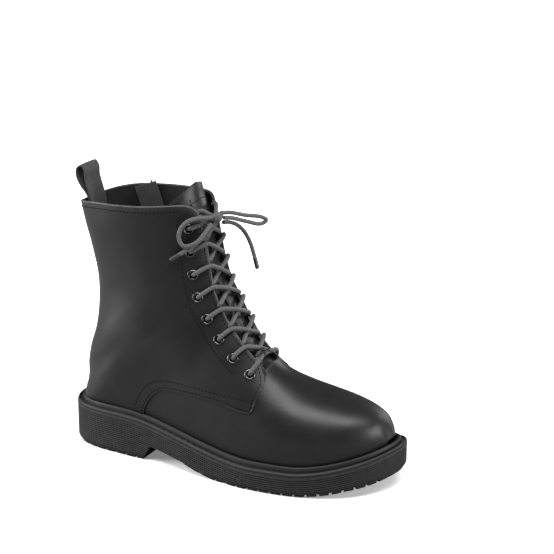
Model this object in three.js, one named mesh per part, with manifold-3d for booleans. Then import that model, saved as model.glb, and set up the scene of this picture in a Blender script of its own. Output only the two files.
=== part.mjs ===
// A lace-up combat boot for the right foot, standing empty on its sole.
// Millimetres. +X runs from heel to toe, +Y towards the inside of the foot, +Z up.
// The solids are worked out with X = 0 at the back of the sole and are centred at the end.

import * as THREE from 'three';
import { mergeVertices } from 'three/addons/utils/BufferGeometryUtils.js';
import Module from 'manifold-3d';

const wasm = await Module();
wasm.setup();

// Driving sizes of the sole
const soleLength = 288;
const ballWidth = 101;
const heelHeight = 37.5;        // floor to the ledge that carries the upper, at the heel
const forefootHeight = 20.5;    // the same at the ball
const toeSpring = 15;           // how far the tip of the tread lifts off the floor
const heelLength = 77;
const breastSlope = 9;          // how far the heel's front face leans forward
const waistRise = 14;           // floor to the underside in front of the heel
const waistLength = 60;
const treadBevel = 2.6;
const treadBevelHeight = 5;
const ribPitch = 5.6;
const ribDepth = 0.8;
const lugPitch = 10;
const lugGap = 2.8;
const lugHeight = 2.6;
const lugReach = 16;
const soleSteps = 32;           // points round the outline

// Driving sizes of the welt and the insole
const ledgeWidth = 8;           // sole and welt that show outside the upper
const weltThickness = 3;
const weltTuck = 4;             // welt that runs on under the upper
const insoleThickness = 4.2;

// Driving sizes of the upper
const bootHeight = 220;         // floor to where the collar line is measured, at the front
const wall = 2.8;
const vampStep = 1.2;           // how far the vamp lies under the quarters' surface
const pieceGap = 0.3;
const footDrop = 4;             // the last runs on below the ledge by this before it is cut flat
const tidyBy = 0.1;             // slivers left by cuts are smoothed away up to this
const lastStations = 18;
const lastHalfSteps = 9;       // points from the front of a section round to its back
const throatWidth = 40;         // widest distance between the flaps, measured round the instep
const cornerRadius = 11;        // of the flaps' top corners

// Driving sizes of the fittings
const eyeletCount = 8;
const eyeletPitch = 18.4;
const eyeletFlange = 4.65;
const eyeletBore = 2.4;
const eyeletBarrel = 3;
const eyeletHeight = 2;
const eyeletLift = 1.2;         // clears the flat facets that stand proud of the true surface
const laceRadius = 1.7;
const tongueThickness = 2.2;
const tongueTopHalf = 44;
const tongueBottomHalf = 32;
const tongueLean = 9;
const zipSlotWidth = 9;
const zipTapeWidth = 20;
const chainWidth = 4;
const keeperThickness = 1.1;
const tapeThickness = 1;
const chainSink = 0.6;          // how deep the chain's face lies under the wall's surface
const sliderAlong = 0.072;      // place of the slider as a share of the zip's length
const sliderWidth = 7.8;
const sliderLength = 11;
const sliderThickness = 2.2;
const bailLength = 5.2;
const bailRun = 2.8;            // inside length of the bail
const bailGap = 2;              // inside height of the bail
const bailWall = 1.1;
const bailWidth = 1.9;
const ringWidth = 6.4;
const ringLength = 12;
const ringThickness = 1.2;
const tabWidth = 5.6;
const tabLength = 20;
const tabThickness = 1.1;       // one layer of leather; the tab is folded double
const foldWidth = 3;
const loopWidth = 22;
const loopThickness = 1.4;

// Plan of the sole: shares of the sole's length, and of the ball width to each side
const SOLE_PLAN = [
  { along: 0.000, outside: 0.00, inside: 0.00 },
  { along: 0.014, outside: 0.17, inside: 0.17 },
  { along: 0.045, outside: 0.27, inside: 0.27 },
  { along: 0.100, outside: 0.33, inside: 0.33 },
  { along: 0.180, outside: 0.355, inside: 0.35 },
  { along: 0.270, outside: 0.37, inside: 0.34 },
  { along: 0.380, outside: 0.41, inside: 0.31 },
  { along: 0.500, outside: 0.455, inside: 0.34 },
  { along: 0.620, outside: 0.49, inside: 0.43 },
  { along: 0.730, outside: 0.465, inside: 0.51 },
  { along: 0.820, outside: 0.40, inside: 0.52 },
  { along: 0.895, outside: 0.30, inside: 0.47 },
  { along: 0.950, outside: 0.17, inside: 0.385 },
  { along: 0.987, outside: 0.01, inside: 0.27 },
  { along: 1.000, outside: -0.13, inside: 0.13 },
];

// Section of the welt: across from its edge as a share of the ledge, up as a share of its thickness
const WELT_SECTION = [
  { across: 0.08, up: -1.00 },
  { across: 0.08, up: -0.45 },
  { across: 0.20, up: -0.12 },
  { across: 0.44, up: -0.12 },
  { across: 0.53, up: -0.40 },
  { across: 0.61, up: 0.60 },
  { across: 0.76, up: 1.00 },
  { across: 0.94, up: 0.50 },
];

// Sections of the last from the toe to above the collar. front and back are the two ends
// of a section in the middle plane: along is a share of the sole's length, up a share of
// the boot's height. A section with no backUp stands on the ledge. half is its widest half
// width as a share of the ball width, or swell that width over the sole's own there.
const LAST = [
  { frontAlong: 0.965, frontUp: 0.188, backAlong: 0.965,
    swell: 1.00, wide: 0.70, frontPower: 2.20, backPower: 2.6 },
  { frontAlong: 0.962, frontUp: 0.210, backAlong: 0.962,
    swell: 1.00, wide: 0.70, frontPower: 2.20, backPower: 2.6 },
  { frontAlong: 0.957, frontUp: 0.233, backAlong: 0.957,
    swell: 1.00, wide: 0.70, frontPower: 2.20, backPower: 2.6 },
  { frontAlong: 0.948, frontUp: 0.255, backAlong: 0.948,
    swell: 1.01, wide: 0.70, frontPower: 2.20, backPower: 2.6 },
  { frontAlong: 0.933, frontUp: 0.275, backAlong: 0.933,
    swell: 1.02, wide: 0.70, frontPower: 2.20, backPower: 2.6 },
  { frontAlong: 0.909, frontUp: 0.292, backAlong: 0.909,
    swell: 1.02, wide: 0.70, frontPower: 2.20, backPower: 2.6 },
  { frontAlong: 0.875, frontUp: 0.308, backAlong: 0.875,
    swell: 1.03, wide: 0.70, frontPower: 2.20, backPower: 2.6 },
  { frontAlong: 0.831, frontUp: 0.325, backAlong: 0.831,
    swell: 1.03, wide: 0.70, frontPower: 2.15, backPower: 2.6 },
  { frontAlong: 0.776, frontUp: 0.344, backAlong: 0.774,
    swell: 1.03, wide: 0.70, frontPower: 2.10, backPower: 2.6 },
  { frontAlong: 0.716, frontUp: 0.369, backAlong: 0.711,
    swell: 1.03, wide: 0.70, frontPower: 2.00, backPower: 2.6 },
  { frontAlong: 0.665, frontUp: 0.402, backAlong: 0.641,
    swell: 1.04, wide: 0.70, frontPower: 1.95, backPower: 2.6 },
  { frontAlong: 0.630, frontUp: 0.443, backAlong: 0.560,
    swell: 1.06, wide: 0.68, frontPower: 1.90, backPower: 2.5 },
  { frontAlong: 0.600, frontUp: 0.490, backAlong: 0.470,
    swell: 1.12, wide: 0.65, frontPower: 1.90, backPower: 2.4 },
  { frontAlong: 0.570, frontUp: 0.546, backAlong: 0.369,
    swell: 1.20, wide: 0.60, frontPower: 1.90, backPower: 2.3 },
  { frontAlong: 0.538, frontUp: 0.604, backAlong: 0.264,
    swell: 1.26, wide: 0.55, frontPower: 1.90, backPower: 2.2 },
  { frontAlong: 0.511, frontUp: 0.660, backAlong: 0.158,
    swell: 1.32, wide: 0.51, frontPower: 1.95, backPower: 2.1 },
  { frontAlong: 0.492, frontUp: 0.700, backAlong: 0.078,
    half: 0.362, wide: 0.49, frontPower: 2.00, backPower: 2.1 },
  { frontAlong: 0.483, frontUp: 0.727, backAlong: 0.036,
    half: 0.361, wide: 0.49, frontPower: 2.00, backPower: 2.1 },
  { frontAlong: 0.475, frontUp: 0.755, backAlong: 0.036, backUp: 0.240,
    half: 0.360, wide: 0.48, frontPower: 2.00, backPower: 2.1 },
  { frontAlong: 0.466, frontUp: 0.790, backAlong: 0.038, backUp: 0.305,
    half: 0.356, wide: 0.48, frontPower: 2.00, backPower: 2.1 },
  { frontAlong: 0.460, frontUp: 0.825, backAlong: 0.048, backUp: 0.370,
    half: 0.350, wide: 0.48, frontPower: 2.00, backPower: 2.1 },
  { frontAlong: 0.454, frontUp: 0.860, backAlong: 0.068, backUp: 0.450,
    half: 0.344, wide: 0.48, frontPower: 2.00, backPower: 2.1 },
  { frontAlong: 0.449, frontUp: 0.890, backAlong: 0.080, backUp: 0.550,
    half: 0.340, wide: 0.48, frontPower: 2.00, backPower: 2.1 },
  { frontAlong: 0.445, frontUp: 0.920, backAlong: 0.080, backUp: 0.658,
    half: 0.342, wide: 0.49, frontPower: 2.00, backPower: 2.1 },
  { frontAlong: 0.442, frontUp: 0.950, backAlong: 0.064, backUp: 0.765,
    half: 0.350, wide: 0.50, frontPower: 2.00, backPower: 2.1 },
  { frontAlong: 0.436, frontUp: 0.985, backAlong: 0.041, backUp: 0.880,
    half: 0.360, wide: 0.50, frontPower: 2.00, backPower: 2.1 },
  { frontAlong: 0.432, frontUp: 1.120, backAlong: 0.012, backUp: 1.060,
    half: 0.368, wide: 0.50, frontPower: 2.00, backPower: 2.1 },
];

// The collar's edge seen from the side: shares of the sole's length and the boot's height
const COLLAR = [
  { along: -0.05, up: 0.925 },
  { along: 0.035, up: 0.935 },
  { along: 0.080, up: 0.953 },
  { along: 0.130, up: 0.965 },
  { along: 0.205, up: 0.972 },
  { along: 0.290, up: 0.979 },
  { along: 0.350, up: 0.985 },
  { along: 0.385, up: 0.987 },
];

// The quarters' edge over the vamp, from the throat down to the lower corner and back
const QUARTER_EDGE = [
  { along: 0.606, up: 1.20 },
  { along: 0.611, up: 0.50 },
  { along: 0.618, up: 0.44 },
  { along: 0.624, up: 0.423 },
  { along: 0.635, up: 0.399 },
  { along: 0.640, up: 0.379 },
  { along: 0.632, up: 0.341 },
  { along: 0.621, up: 0.284 },
  { along: 0.478, up: 0.304 },
];
const OUTSIDE_ARCH = [
  { along: 0.353, up: 0.302 },
  { along: 0.331, up: 0.296 },
  { along: 0.305, up: 0.268 },
  { along: 0.283, up: 0.230 },
  { along: 0.265, up: 0.179 },
  { along: 0.258, up: 0.05 },
];
const INSIDE_ARCH = [
  { along: 0.375, up: 0.302 },
  { along: 0.372, up: 0.25 },
  { along: 0.385, up: 0.19 },
  { along: 0.400, up: 0.05 },
];

// The opening between the flaps by station of the last: half of it, and the distance from
// the middle to the eyelets, both round the instep as shares of half the throat's width
const THROAT = [
  { station: 0.41, half: 0.75, eyelet: 1.26 },
  { station: 0.46, half: 0.77, eyelet: 1.40 },
  { station: 0.50, half: 0.88, eyelet: 1.57 },
  { station: 0.54, half: 1.00, eyelet: 1.70 },
  { station: 0.58, half: 1.00, eyelet: 1.72 },
  { station: 0.65, half: 0.88, eyelet: 1.65 },
  { station: 0.74, half: 0.72, eyelet: 1.54 },
  { station: 0.82, half: 0.68, eyelet: 1.46 },
  { station: 0.90, half: 0.70, eyelet: 1.32 },
  { station: 1.00, half: 0.70, eyelet: 1.32 },
];

// The lace keeper on the tongue: stations of the last, and millimetres round the instep
const KEEPER = { stations: [0.56, 0.625], rounds: [-9, 1] };

// Path of the pull loop at the back of the collar, seen from the side
const LOOP_PATH = [
  { along: 0.0572, up: 0.890 },
  { along: 0.0517, up: 0.930 },
  { along: 0.0475, up: 0.958 },
  { along: 0.0300, up: 0.992 },
  { along: 0.0205, up: 1.025 },
  { along: 0.0225, up: 1.054 },
  { along: 0.0370, up: 1.066 },
  { along: 0.0475, up: 1.048 },
  { along: 0.0480, up: 1.015 },
  { along: 0.0530, up: 0.975 },
  { along: 0.0590, up: 0.930 },
  { along: 0.0645, up: 0.890 },
];

// The zip's line on the inner side, from the collar down
const ZIP_LINE = [
  { along: 0.153, up: 0.985 },
  { along: 0.205, up: 0.79 },
  { along: 0.262, up: 0.52 },
  { along: 0.322, up: 0.262 },
];

const smooth = (from, to, x) => {
  const t = Math.min(1, Math.max(0, (x - from) / (to - from)));
  return t * t * (3 - 2 * t);
};
const mix = (a, b, t) => a + (b - a) * t;
const spread = (count) => Array.from({ length: count + 1 }, (_, i) => i / count);
const sideShape = (rows) => rows.map((row) => [row.along * soleLength, row.up * bootHeight]);

// Height of the tread and of the ledge above the floor
const seatEnd = heelLength * 0.68;
const ballStart = soleLength * 0.635;
const springStart = soleLength * 0.74;
const breastTop = heelLength + breastSlope;
const treadStart = breastTop + waistLength;
const springAt = (x) => toeSpring * Math.max(0, (x - springStart) / (soleLength - springStart)) ** 1.6;
const ledgeAt = (x) => {
  const fall = smooth(seatEnd, ballStart, x);
  return mix(heelHeight, forefootHeight, fall) + 1.25 * springAt(x);
};
const soleTopAt = (x) => ledgeAt(x) - weltThickness - pieceGap;

// The sole's outline at even steps: each point with the direction that leads inwards
function outlineFrame(steps = soleSteps) {
  const points = SOLE_PLAN.map((p) => new THREE.Vector3(p.along * soleLength, -p.outside * ballWidth, 0));
  for (const p of SOLE_PLAN.slice(1, -1).reverse()) {
    points.push(new THREE.Vector3(p.along * soleLength, p.inside * ballWidth, 0));
  }
  const curve = new THREE.CatmullRomCurve3(points, true, 'centripetal');
  return Array.from({ length: steps }, (_, i) => {
    const at = curve.getPointAt(i / steps);
    const tangent = curve.getTangentAt(i / steps);
    return { x: at.x, y: at.y, inX: -tangent.y, inY: tangent.x };
  });
}

// A ring inside the outline. distance and height are numbers or functions of x
function ringInside(frame, distance, height) {
  const value = (rule, x) => (typeof rule === 'function' ? rule(x) : rule);
  return frame.map((p) => {
    const margin = value(distance, p.x);
    const x = p.x + p.inX * margin;
    return new THREE.Vector3(x, p.y + p.inY * margin, value(height, x));
  });
}

// Lowest and highest y of a ring at x
function widthAt(ring, x) {
  const found = [];
  ring.forEach((a, i) => {
    const b = ring[(i + 1) % ring.length];
    if ((a.x - x) * (b.x - x) <= 0 && a.x !== b.x) {
      found.push(a.y + ((x - a.x) / (b.x - a.x)) * (b.y - a.y));
    }
  });
  return [Math.min(...found), Math.max(...found)];
}

// Faces between rings of the same number of points. ends is 'fan' for a cap round the middle
// of each end, 'strip' for a cap across a thin curved section, 'joined' for a closed loop
function skin(rings, ends = 'fan') {
  const count = rings[0].length;
  const positions = rings.flat().flatMap((p) => [p.x, p.y, p.z]);
  const index = [];
  const last = ends === 'joined' ? rings.length : rings.length - 1;
  for (let r = 0; r < last; r += 1) {
    const next = (r + 1) % rings.length;
    for (let i = 0; i < count; i += 1) {
      const j = (i + 1) % count;
      const a = r * count + i;
      const b = r * count + j;
      const c = next * count + j;
      const d = next * count + i;
      index.push(a, b, c, a, c, d);
    }
  }
  const caps = ends === 'joined' ? [] : [[0, true], [rings.length - 1, false]];
  for (const [ring, flip] of caps) {
    const face = (a, b, c) => index.push(...(flip ? [b, a, c] : [a, b, c]));
    const first = ring * count;
    if (ends === 'strip') {
      for (let i = 0; i < count / 2 - 1; i += 1) {
        const across = first + count - 1 - i;
        face(first + i, first + i + 1, across);
        face(first + i + 1, across - 1, across);
      }
    } else {
      const middle = positions.length / 3;
      const centre = rings[ring].reduce((sum, p) => sum.add(p), new THREE.Vector3()).divideScalar(count);
      positions.push(centre.x, centre.y, centre.z);
      for (let i = 0; i < count; i += 1) face(first + i, first + ((i + 1) % count), middle);
    }
  }
  const geometry = new THREE.BufferGeometry();
  geometry.setAttribute('position', new THREE.Float32BufferAttribute(positions, 3));
  geometry.setIndex(index);
  return geometry;
}

function solidOf(geometry) {
  const bare = geometry.clone();
  for (const name of Object.keys(bare.attributes)) {
    if (name !== 'position') bare.deleteAttribute(name);
  }
  const merged = mergeVertices(bare, 1e-3);
  const triangles = Uint32Array.from(merged.index.array);
  const make = () => new wasm.Manifold(new wasm.Mesh({
    numProp: 3,
    vertProperties: Float32Array.from(merged.attributes.position.array),
    triVerts: triangles,
  }));
  const solid = make();
  if (solid.volume() > 0) return solid;
  triangles.reverse();
  return make();
}

const ringSolid = (rings, ends = 'fan') => solidOf(skin(rings, ends));

function geometryOf(solid) {
  const mesh = solid.simplify(tidyBy).getMesh();
  const geometry = new THREE.BufferGeometry();
  geometry.setAttribute('position', new THREE.Float32BufferAttribute(mesh.vertProperties, 3));
  geometry.setIndex(Array.from(mesh.triVerts));
  return geometry;
}

const union = (solids) => solids.reduce((all, one) => all.add(one));

// A shape drawn in the side view as [x, z] points, made as wide as asked across the boot
function sideways(points, from, to) {
  const shape = new THREE.Shape(points.map(([x, z]) => new THREE.Vector2(x, z)));
  const geometry = new THREE.ExtrudeGeometry(shape, { depth: to - from, bevelEnabled: false });
  geometry.rotateX(Math.PI / 2);
  geometry.translate(0, to, 0);
  return solidOf(geometry);
}

// The space between two heights that follow x, over the whole sole
function layer(lowOf, highOf, steps = 26) {
  const xs = spread(steps).map((t) => mix(-20, soleLength + 20, t));
  const low = xs.map((x) => [x, lowOf(x)]);
  const high = xs.map((x) => [x, highOf(x)]);
  return sideways([...low, ...high.reverse()], -ballWidth, ballWidth);
}

const soleFrame = outlineFrame();
const feather = ringInside(outlineFrame(160), ledgeWidth, 0);

// Outsole: ribbed side wall, heel, arch, toe spring and lugs round the edge of the tread
function outsoleSolid() {
  const deepest = heelHeight + 1;
  const count = Math.ceil((2 * deepest) / ribPitch);
  const rings = [];
  for (let i = count; i >= 0; i -= 1) {
    const drop = (i * ribPitch) / 2;
    const groove = i % 2 ? ribDepth : 0;
    const margin = (x) => {
      const aboveTread = soleTopAt(x) - drop - springAt(x);
      return groove + treadBevel * (1 - smooth(0, treadBevelHeight, aboveTread));
    };
    rings.push(ringInside(soleFrame, margin, (x) => soleTopAt(x) - drop));
  }
  rings.push(ringInside(soleFrame, 0, (x) => soleTopAt(x) + weltThickness));
  const upwards = layer(soleTopAt, () => 3 * heelHeight);
  return ringSolid(rings).subtract(upwards).subtract(belowTread()).subtract(lugGaps());
}

// Everything under the tread, the heel's front face and the arch
function belowTread() {
  const arch = spread(6).map((t) => [mix(breastTop, treadStart, t), waistRise * (1 - t ** 1.5)]);
  const spring = spread(8).map((t) => mix(springStart, soleLength + 20, t)).map((x) => [x, springAt(x)]);
  const deep = -3 * heelHeight;
  const shape = [[-20, deep], [-20, 0], [heelLength, 0], ...arch, ...spring, [soleLength + 20, deep]];
  return sideways(shape, -ballWidth, ballWidth);
}

function lugGaps() {
  const fine = outlineFrame(400);
  const step = Math.hypot(fine[1].x - fine[0].x, fine[1].y - fine[0].y);
  const every = Math.round(lugPitch / step);
  const cuts = [];
  for (let i = 0; i < fine.length; i += every) {
    const p = fine[i];
    const onHeel = p.x < heelLength - lugGap;
    const onForefoot = p.x > treadStart + lugGap;
    if (onHeel || onForefoot) {
      const box = new THREE.BoxGeometry(2 * lugReach, lugGap, 2 * lugHeight);
      box.rotateZ(Math.atan2(p.inY, p.inX));
      box.translate(p.x, p.y, springAt(p.x));
      cuts.push(solidOf(box));
    }
  }
  return union(cuts);
}

// Welt: a strip round the ledge with a lip, a stitch groove and a bead against the leather
function weltSolid() {
  const section = WELT_SECTION.map((row) => [row.across * ledgeWidth, row.up * weltThickness]);
  section.push([ledgeWidth + weltTuck, 0], [ledgeWidth + weltTuck, -weltThickness]);
  const rings = soleFrame.map((p) => section.map(([margin, up]) => {
    const x = p.x + p.inX * margin;
    return new THREE.Vector3(x, p.y + p.inY * margin, ledgeAt(x) + up);
  }));
  const aboveLedge = layer((x) => ledgeAt(x) + pieceGap / 2, () => bootHeight);
  const leather = lastSolid(-pieceGap, footDrop).intersect(aboveLedge);
  return ringSolid(rings, 'joined').subtract(leather);
}

function insoleSolid() {
  const margin = ledgeWidth + weltTuck + pieceGap;
  const plate = ringSolid([0, 3 * heelHeight].map((height) => ringInside(soleFrame, margin, height)));
  const low = (x) => soleTopAt(x) + pieceGap;
  return plate.intersect(layer(low, (x) => low(x) + insoleThickness));
}

// The table's rows in millimetres, with the share of each section that is flat on the ledge
const SECTIONS = LAST.map((row) => {
  const backX = row.backAlong * soleLength;
  const standing = row.backUp === undefined;
  const inset = ledgeWidth + 0.6;
  const [low, high] = widthAt(feather, Math.min(Math.max(backX, inset), soleLength - inset));
  const foot = (high - low) / 2;
  const half = row.half === undefined ? foot * row.swell : row.half * ballWidth;
  return {
    frontX: row.frontAlong * soleLength,
    frontZ: row.frontUp * bootHeight,
    backX,
    backZ: standing ? ledgeAt(backX) : row.backUp * bootHeight,
    centre: standing ? (low + high) / 2 : 0,
    half,
    foot: standing ? foot / half : 0.05,
    wide: row.wide,
    frontPower: row.frontPower,
    backPower: row.backPower,
  };
});

// A section anywhere between toe, u = 0, and collar, u = 1, by a smooth curve through the rows
function stationAt(u) {
  const place = u * (SECTIONS.length - 1);
  const i = Math.min(SECTIONS.length - 2, Math.floor(place));
  const t = place - i;
  const near = [i - 1, i, i + 1, i + 2].map((k) => SECTIONS[Math.min(SECTIONS.length - 1, Math.max(0, k))]);
  const result = {};
  for (const key of Object.keys(near[0])) {
    const [a, b, c, d] = near.map((row) => row[key]);
    const slopeB = (c - a) / 2;
    const slopeC = (d - b) / 2;
    const t2 = t * t;
    const t3 = t2 * t;
    const ends = (2 * t3 - 3 * t2 + 1) * b + (3 * t2 - 2 * t3) * c;
    result[key] = ends + (t3 - 2 * t2 + t) * slopeB + (t3 - t2) * slopeC;
  }
  return result;
}

// A point of a section: side is -1 outside or 1 inside, angle runs from 0 in front to PI behind
function sectionPoint(station, side, angle) {
  const c = Math.abs(Math.cos(angle));
  const s = Math.abs(Math.sin(angle));
  const ahead = angle <= Math.PI / 2;
  const power = 2 / (ahead ? station.frontPower : station.backPower);
  const { wide, foot } = station;
  const depth = ahead ? wide * (1 - c ** power) : wide + (1 - wide) * c ** power;
  const out = ahead ? s ** power : foot + (1 - foot) * s ** power;
  return new THREE.Vector3(
    mix(station.frontX, station.backX, depth),
    station.centre + side * station.half * out,
    mix(station.frontZ, station.backZ, depth),
  );
}

function stationRing(u) {
  const station = stationAt(u);
  const angles = spread(lastHalfSteps).map((t) => t * Math.PI);
  const outside = angles.map((angle) => sectionPoint(station, -1, angle));
  const inside = angles.slice(1).reverse().map((angle) => sectionPoint(station, 1, angle));
  return [...outside, ...inside];
}

// The last as a closed body, its surface moved inwards by depth. Where it stands on the
// ledge its edges run on below by drop, so that a flat cut opens it there
function lastSolid(depth, drop) {
  const us = spread(lastStations);
  const grid = us.map(stationRing);
  const count = grid[0].length;
  const rings = grid.map((ring, r) => ring.map((p, i) => {
    const outsideEdge = i === lastHalfSteps;
    const insideEdge = i === lastHalfSteps + 1;
    const before = ring[insideEdge ? i : (i + count - 1) % count];
    const after = ring[outsideEdge ? i : (i + 1) % count];
    const ahead = grid[Math.max(0, r - 1)][i];
    const behind = grid[Math.min(grid.length - 1, r + 1)][i];
    const normal = behind.clone().sub(ahead).cross(after.clone().sub(before)).normalize();
    const moved = p.clone().addScaledVector(normal, -depth);
    if (r === 0) moved.x -= depth;
    const standing = stationAt(us[r]).foot > 0.1;
    if (standing && (outsideEdge || insideEdge)) moved.z -= drop;
    return moved;
  }));
  return ringSolid(rings);
}

// The place on the last's surface at an angle of a section, sunk inwards by depth
function sunk(u, side, angle, depth) {
  const small = 1e-3;
  const at = (du, da) => {
    const turn = angle + da;
    const over = turn < 0 ? -side : side;
    const station = stationAt(Math.min(1, Math.max(0, u + du)));
    return sectionPoint(station, over, Math.min(Math.abs(turn), Math.PI));
  };
  const alongU = at(small, 0).sub(at(-small, 0));
  const round = at(0, small).sub(at(0, -small)).multiplyScalar(-side);
  const normal = alongU.cross(round).normalize();
  const point = sectionPoint(stationAt(u), side, angle);
  return { point: point.addScaledVector(normal, -depth), normal };
}

// The same by the distance round from the front of the section, positive towards the inside
function onInstep(u, round, depth) {
  const station = stationAt(u);
  const side = round < 0 ? -1 : 1;
  const steps = 60;
  let from = sectionPoint(station, side, 0);
  let left = Math.abs(round);
  let angle = 0;
  for (let k = 1; k <= steps; k += 1) {
    const to = sectionPoint(station, side, (k / steps) * Math.PI);
    const length = to.distanceTo(from);
    if (left <= length) {
      angle = ((k - 1 + left / length) / steps) * Math.PI;
      break;
    }
    left -= length;
    from = to;
  }
  return sunk(u, side, angle, depth);
}

// The same by its x and z in the side view
function onSide(side, x, z, depth) {
  let low = 0;
  let high = 1;
  const above = (u) => {
    const s = stationAt(u);
    return (s.frontX - s.backX) * (z - s.backZ) - (s.frontZ - s.backZ) * (x - s.backX);
  };
  for (let k = 0; k < 40; k += 1) {
    const middle = (low + high) / 2;
    if (above(middle) > 0) low = middle;
    else high = middle;
  }
  const u = (low + high) / 2;
  const s = stationAt(u);
  const length = Math.hypot(s.backX - s.frontX, s.backZ - s.frontZ);
  const share = Math.hypot(x - s.frontX, z - s.frontZ) / length;
  const ahead = share < s.wide;
  const power = (ahead ? s.frontPower : s.backPower) / 2;
  const c = (ahead ? 1 - share / s.wide : (share - s.wide) / (1 - s.wide)) ** power;
  const angle = Math.acos(Math.min(1, c));
  return sunk(u, side, ahead ? angle : Math.PI - angle, depth);
}

// Where the front line of the last reaches a share of the sole's length
function instepAt(along) {
  let low = 0;
  let high = 0.95;
  for (let k = 0; k < 30; k += 1) {
    const middle = (low + high) / 2;
    if (stationAt(middle).frontX > along * soleLength) low = middle;
    else high = middle;
  }
  return (low + high) / 2;
}

// A column of the throat's table at a station, in millimetres round the instep
function throat(column, u) {
  const next = Math.max(1, THROAT.findIndex((row) => row.station >= u));
  const [low, high] = [THROAT[next - 1], THROAT[next]];
  const t = Math.max(0, (u - low.station) / (high.station - low.station));
  return (mix(low[column], high[column], t) * throatWidth) / 2;
}

const throatEnd = instepAt(0.638);

function throatCut() {
  const reach = 12;
  const corner = 0.006;
  const CORNERS = [0.82, 0.95];
  const rest = spread(16).map((t) => mix(throatEnd + 2 * corner, 1, t));
  const rings = [throatEnd, throatEnd + corner, ...rest].map((u, k) => {
    const half = throat('half', u) * (CORNERS[k] ?? 1);
    const rounds = spread(4).map((t) => mix(-half, half, t));
    const outer = rounds.map((round) => onInstep(u, round, -reach).point);
    const inner = rounds.map((round) => onInstep(u, round, wall + 2).point);
    return [...outer, ...inner.reverse()];
  });
  return ringSolid(rings, 'strip');
}

// Above the collar: its edge runs forward and turns down round the corners of the flaps
function collarCut() {
  const edge = sideShape(COLLAR);
  const [lastX, lastZ] = edge.at(-1);
  const corner = spread(6).slice(1).map((t) => {
    const angle = (t * Math.PI) / 2;
    return [lastX + cornerRadius * Math.sin(angle), lastZ - cornerRadius * (1 - Math.cos(angle))];
  });
  const endZ = corner.at(-1)[1];
  const high = 1.4 * bootHeight;
  const shape = [...edge, ...corner, [soleLength, endZ], [soleLength, high], [edge[0][0], high]];
  return sideways(shape, -ballWidth, ballWidth);
}

// The part of the last that the quarters cover, on one side
function quarterSpace(arch, from, to) {
  const edge = sideShape([...QUARTER_EDGE, ...arch]);
  const back = -0.1 * soleLength;
  return sideways([...edge, [back, edge.at(-1)[1]], [back, edge[0][1]]], from, to);
}

// A point at a share of the zip's length, to one side of its line, on the inner side of the boot
const zipLine = sideShape(ZIP_LINE).map(([x, z]) => new THREE.Vector3(x, 0, z));
const zipCurve = new THREE.CatmullRomCurve3(zipLine);

function zipPoint(t, across) {
  const at = zipCurve.getPointAt(t);
  const tangent = zipCurve.getTangentAt(t);
  return [at.x - tangent.z * across, at.z + tangent.x * across];
}

const onZip = (t, across, depth) => onSide(1, ...zipPoint(t, across), depth);

function zipSlot() {
  const half = zipSlotWidth / 2;
  const ahead = spread(6).map((t) => zipPoint(t, half));
  const behind = spread(6).map((t) => zipPoint(t, -half)).reverse();
  const high = 1.2 * bootHeight;
  return sideways([[ahead[0][0], high], ...ahead, ...behind, [behind.at(-1)[0], high]], 0, ballWidth);
}

// Stations of the eyelets, marched down the flaps at an even pitch from the top one
const eyeletStations = (() => {
  const place = (u) => onInstep(u, -throat('eyelet', u), 0).point;
  const firstUp = 0.904 * bootHeight;
  const found = [];
  let from = null;
  const fine = 1 / 1500;
  for (let u = 0.99; u > 0.2 && found.length < eyeletCount; u -= fine) {
    const at = place(u);
    const due = from === null ? at.z <= firstUp : at.distanceTo(from) >= eyeletPitch;
    if (due) {
      found.push(u);
      from = at;
    }
  }
  return found;
})();

const eyeletPlace = (k, side) => {
  const u = eyeletStations[k];
  return onInstep(u, side * throat('eyelet', u), 0);
};

// Turns a shape made along +Y so that it stands on the surface at a place
function stand(geometry, place) {
  const turn = new THREE.Quaternion().setFromUnitVectors(new THREE.Vector3(0, 1, 0), place.normal);
  geometry.applyQuaternion(turn);
  geometry.translate(place.point.x, place.point.y, place.point.z);
  return geometry;
}

function eyeletHoles() {
  const holes = [];
  for (let k = 0; k < eyeletCount; k += 1) {
    for (const side of [-1, 1]) {
      const radius = eyeletBarrel + pieceGap;
      const hole = new THREE.CylinderGeometry(radius, radius, 4 * wall, 8);
      holes.push(solidOf(stand(hole, eyeletPlace(k, side))));
    }
  }
  return union(holes);
}

function eyeletGeometry(k, side) {
  const low = 3 * pieceGap - wall;
  const profile = [
    [eyeletBore, low],
    [eyeletBarrel, low],
    [eyeletBarrel, eyeletLift],
    [eyeletFlange, eyeletLift],
    [eyeletBore * 1.3, eyeletHeight],
    [eyeletBore, low],
  ];
  const lathe = new THREE.LatheGeometry(profile.map(([r, h]) => new THREE.Vector2(r, h)), 8);
  return geometryOf(solidOf(stand(lathe, eyeletPlace(k, side))));
}

// Upper: the quarters' level over the vamp's, hollowed, then opened at collar, throat,
// zip and eyelets, and underneath where the sole closes it
function upperSolid() {
  const quarters = union([
    quarterSpace(OUTSIDE_ARCH, -ballWidth, 0),
    quarterSpace(INSIDE_ARCH, 0, ballWidth),
  ]);
  const outer = lastSolid(0, footDrop).intersect(quarters).add(lastSolid(vampStep, footDrop));
  const margin = ledgeWidth + wall;
  const open = ringSolid([
    ringInside(soleFrame, margin, -heelHeight),
    ringInside(soleFrame, margin, (x) => ledgeAt(x) + wall),
  ]);
  const cuts = [lastSolid(wall, 2 * footDrop), open, collarCut(), throatCut(), zipSlot(), eyeletHoles()];
  const above = layer((x) => ledgeAt(x) + pieceGap, () => 2 * bootHeight);
  return cuts.reduce((solid, cut) => solid.subtract(cut), outer).intersect(above);
}

// Tongue: a layer under the upper's inside. It stands above the collar and leans back there
const tongueStart = instepAt(0.672);
const tongueTop = 0.98;

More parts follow.
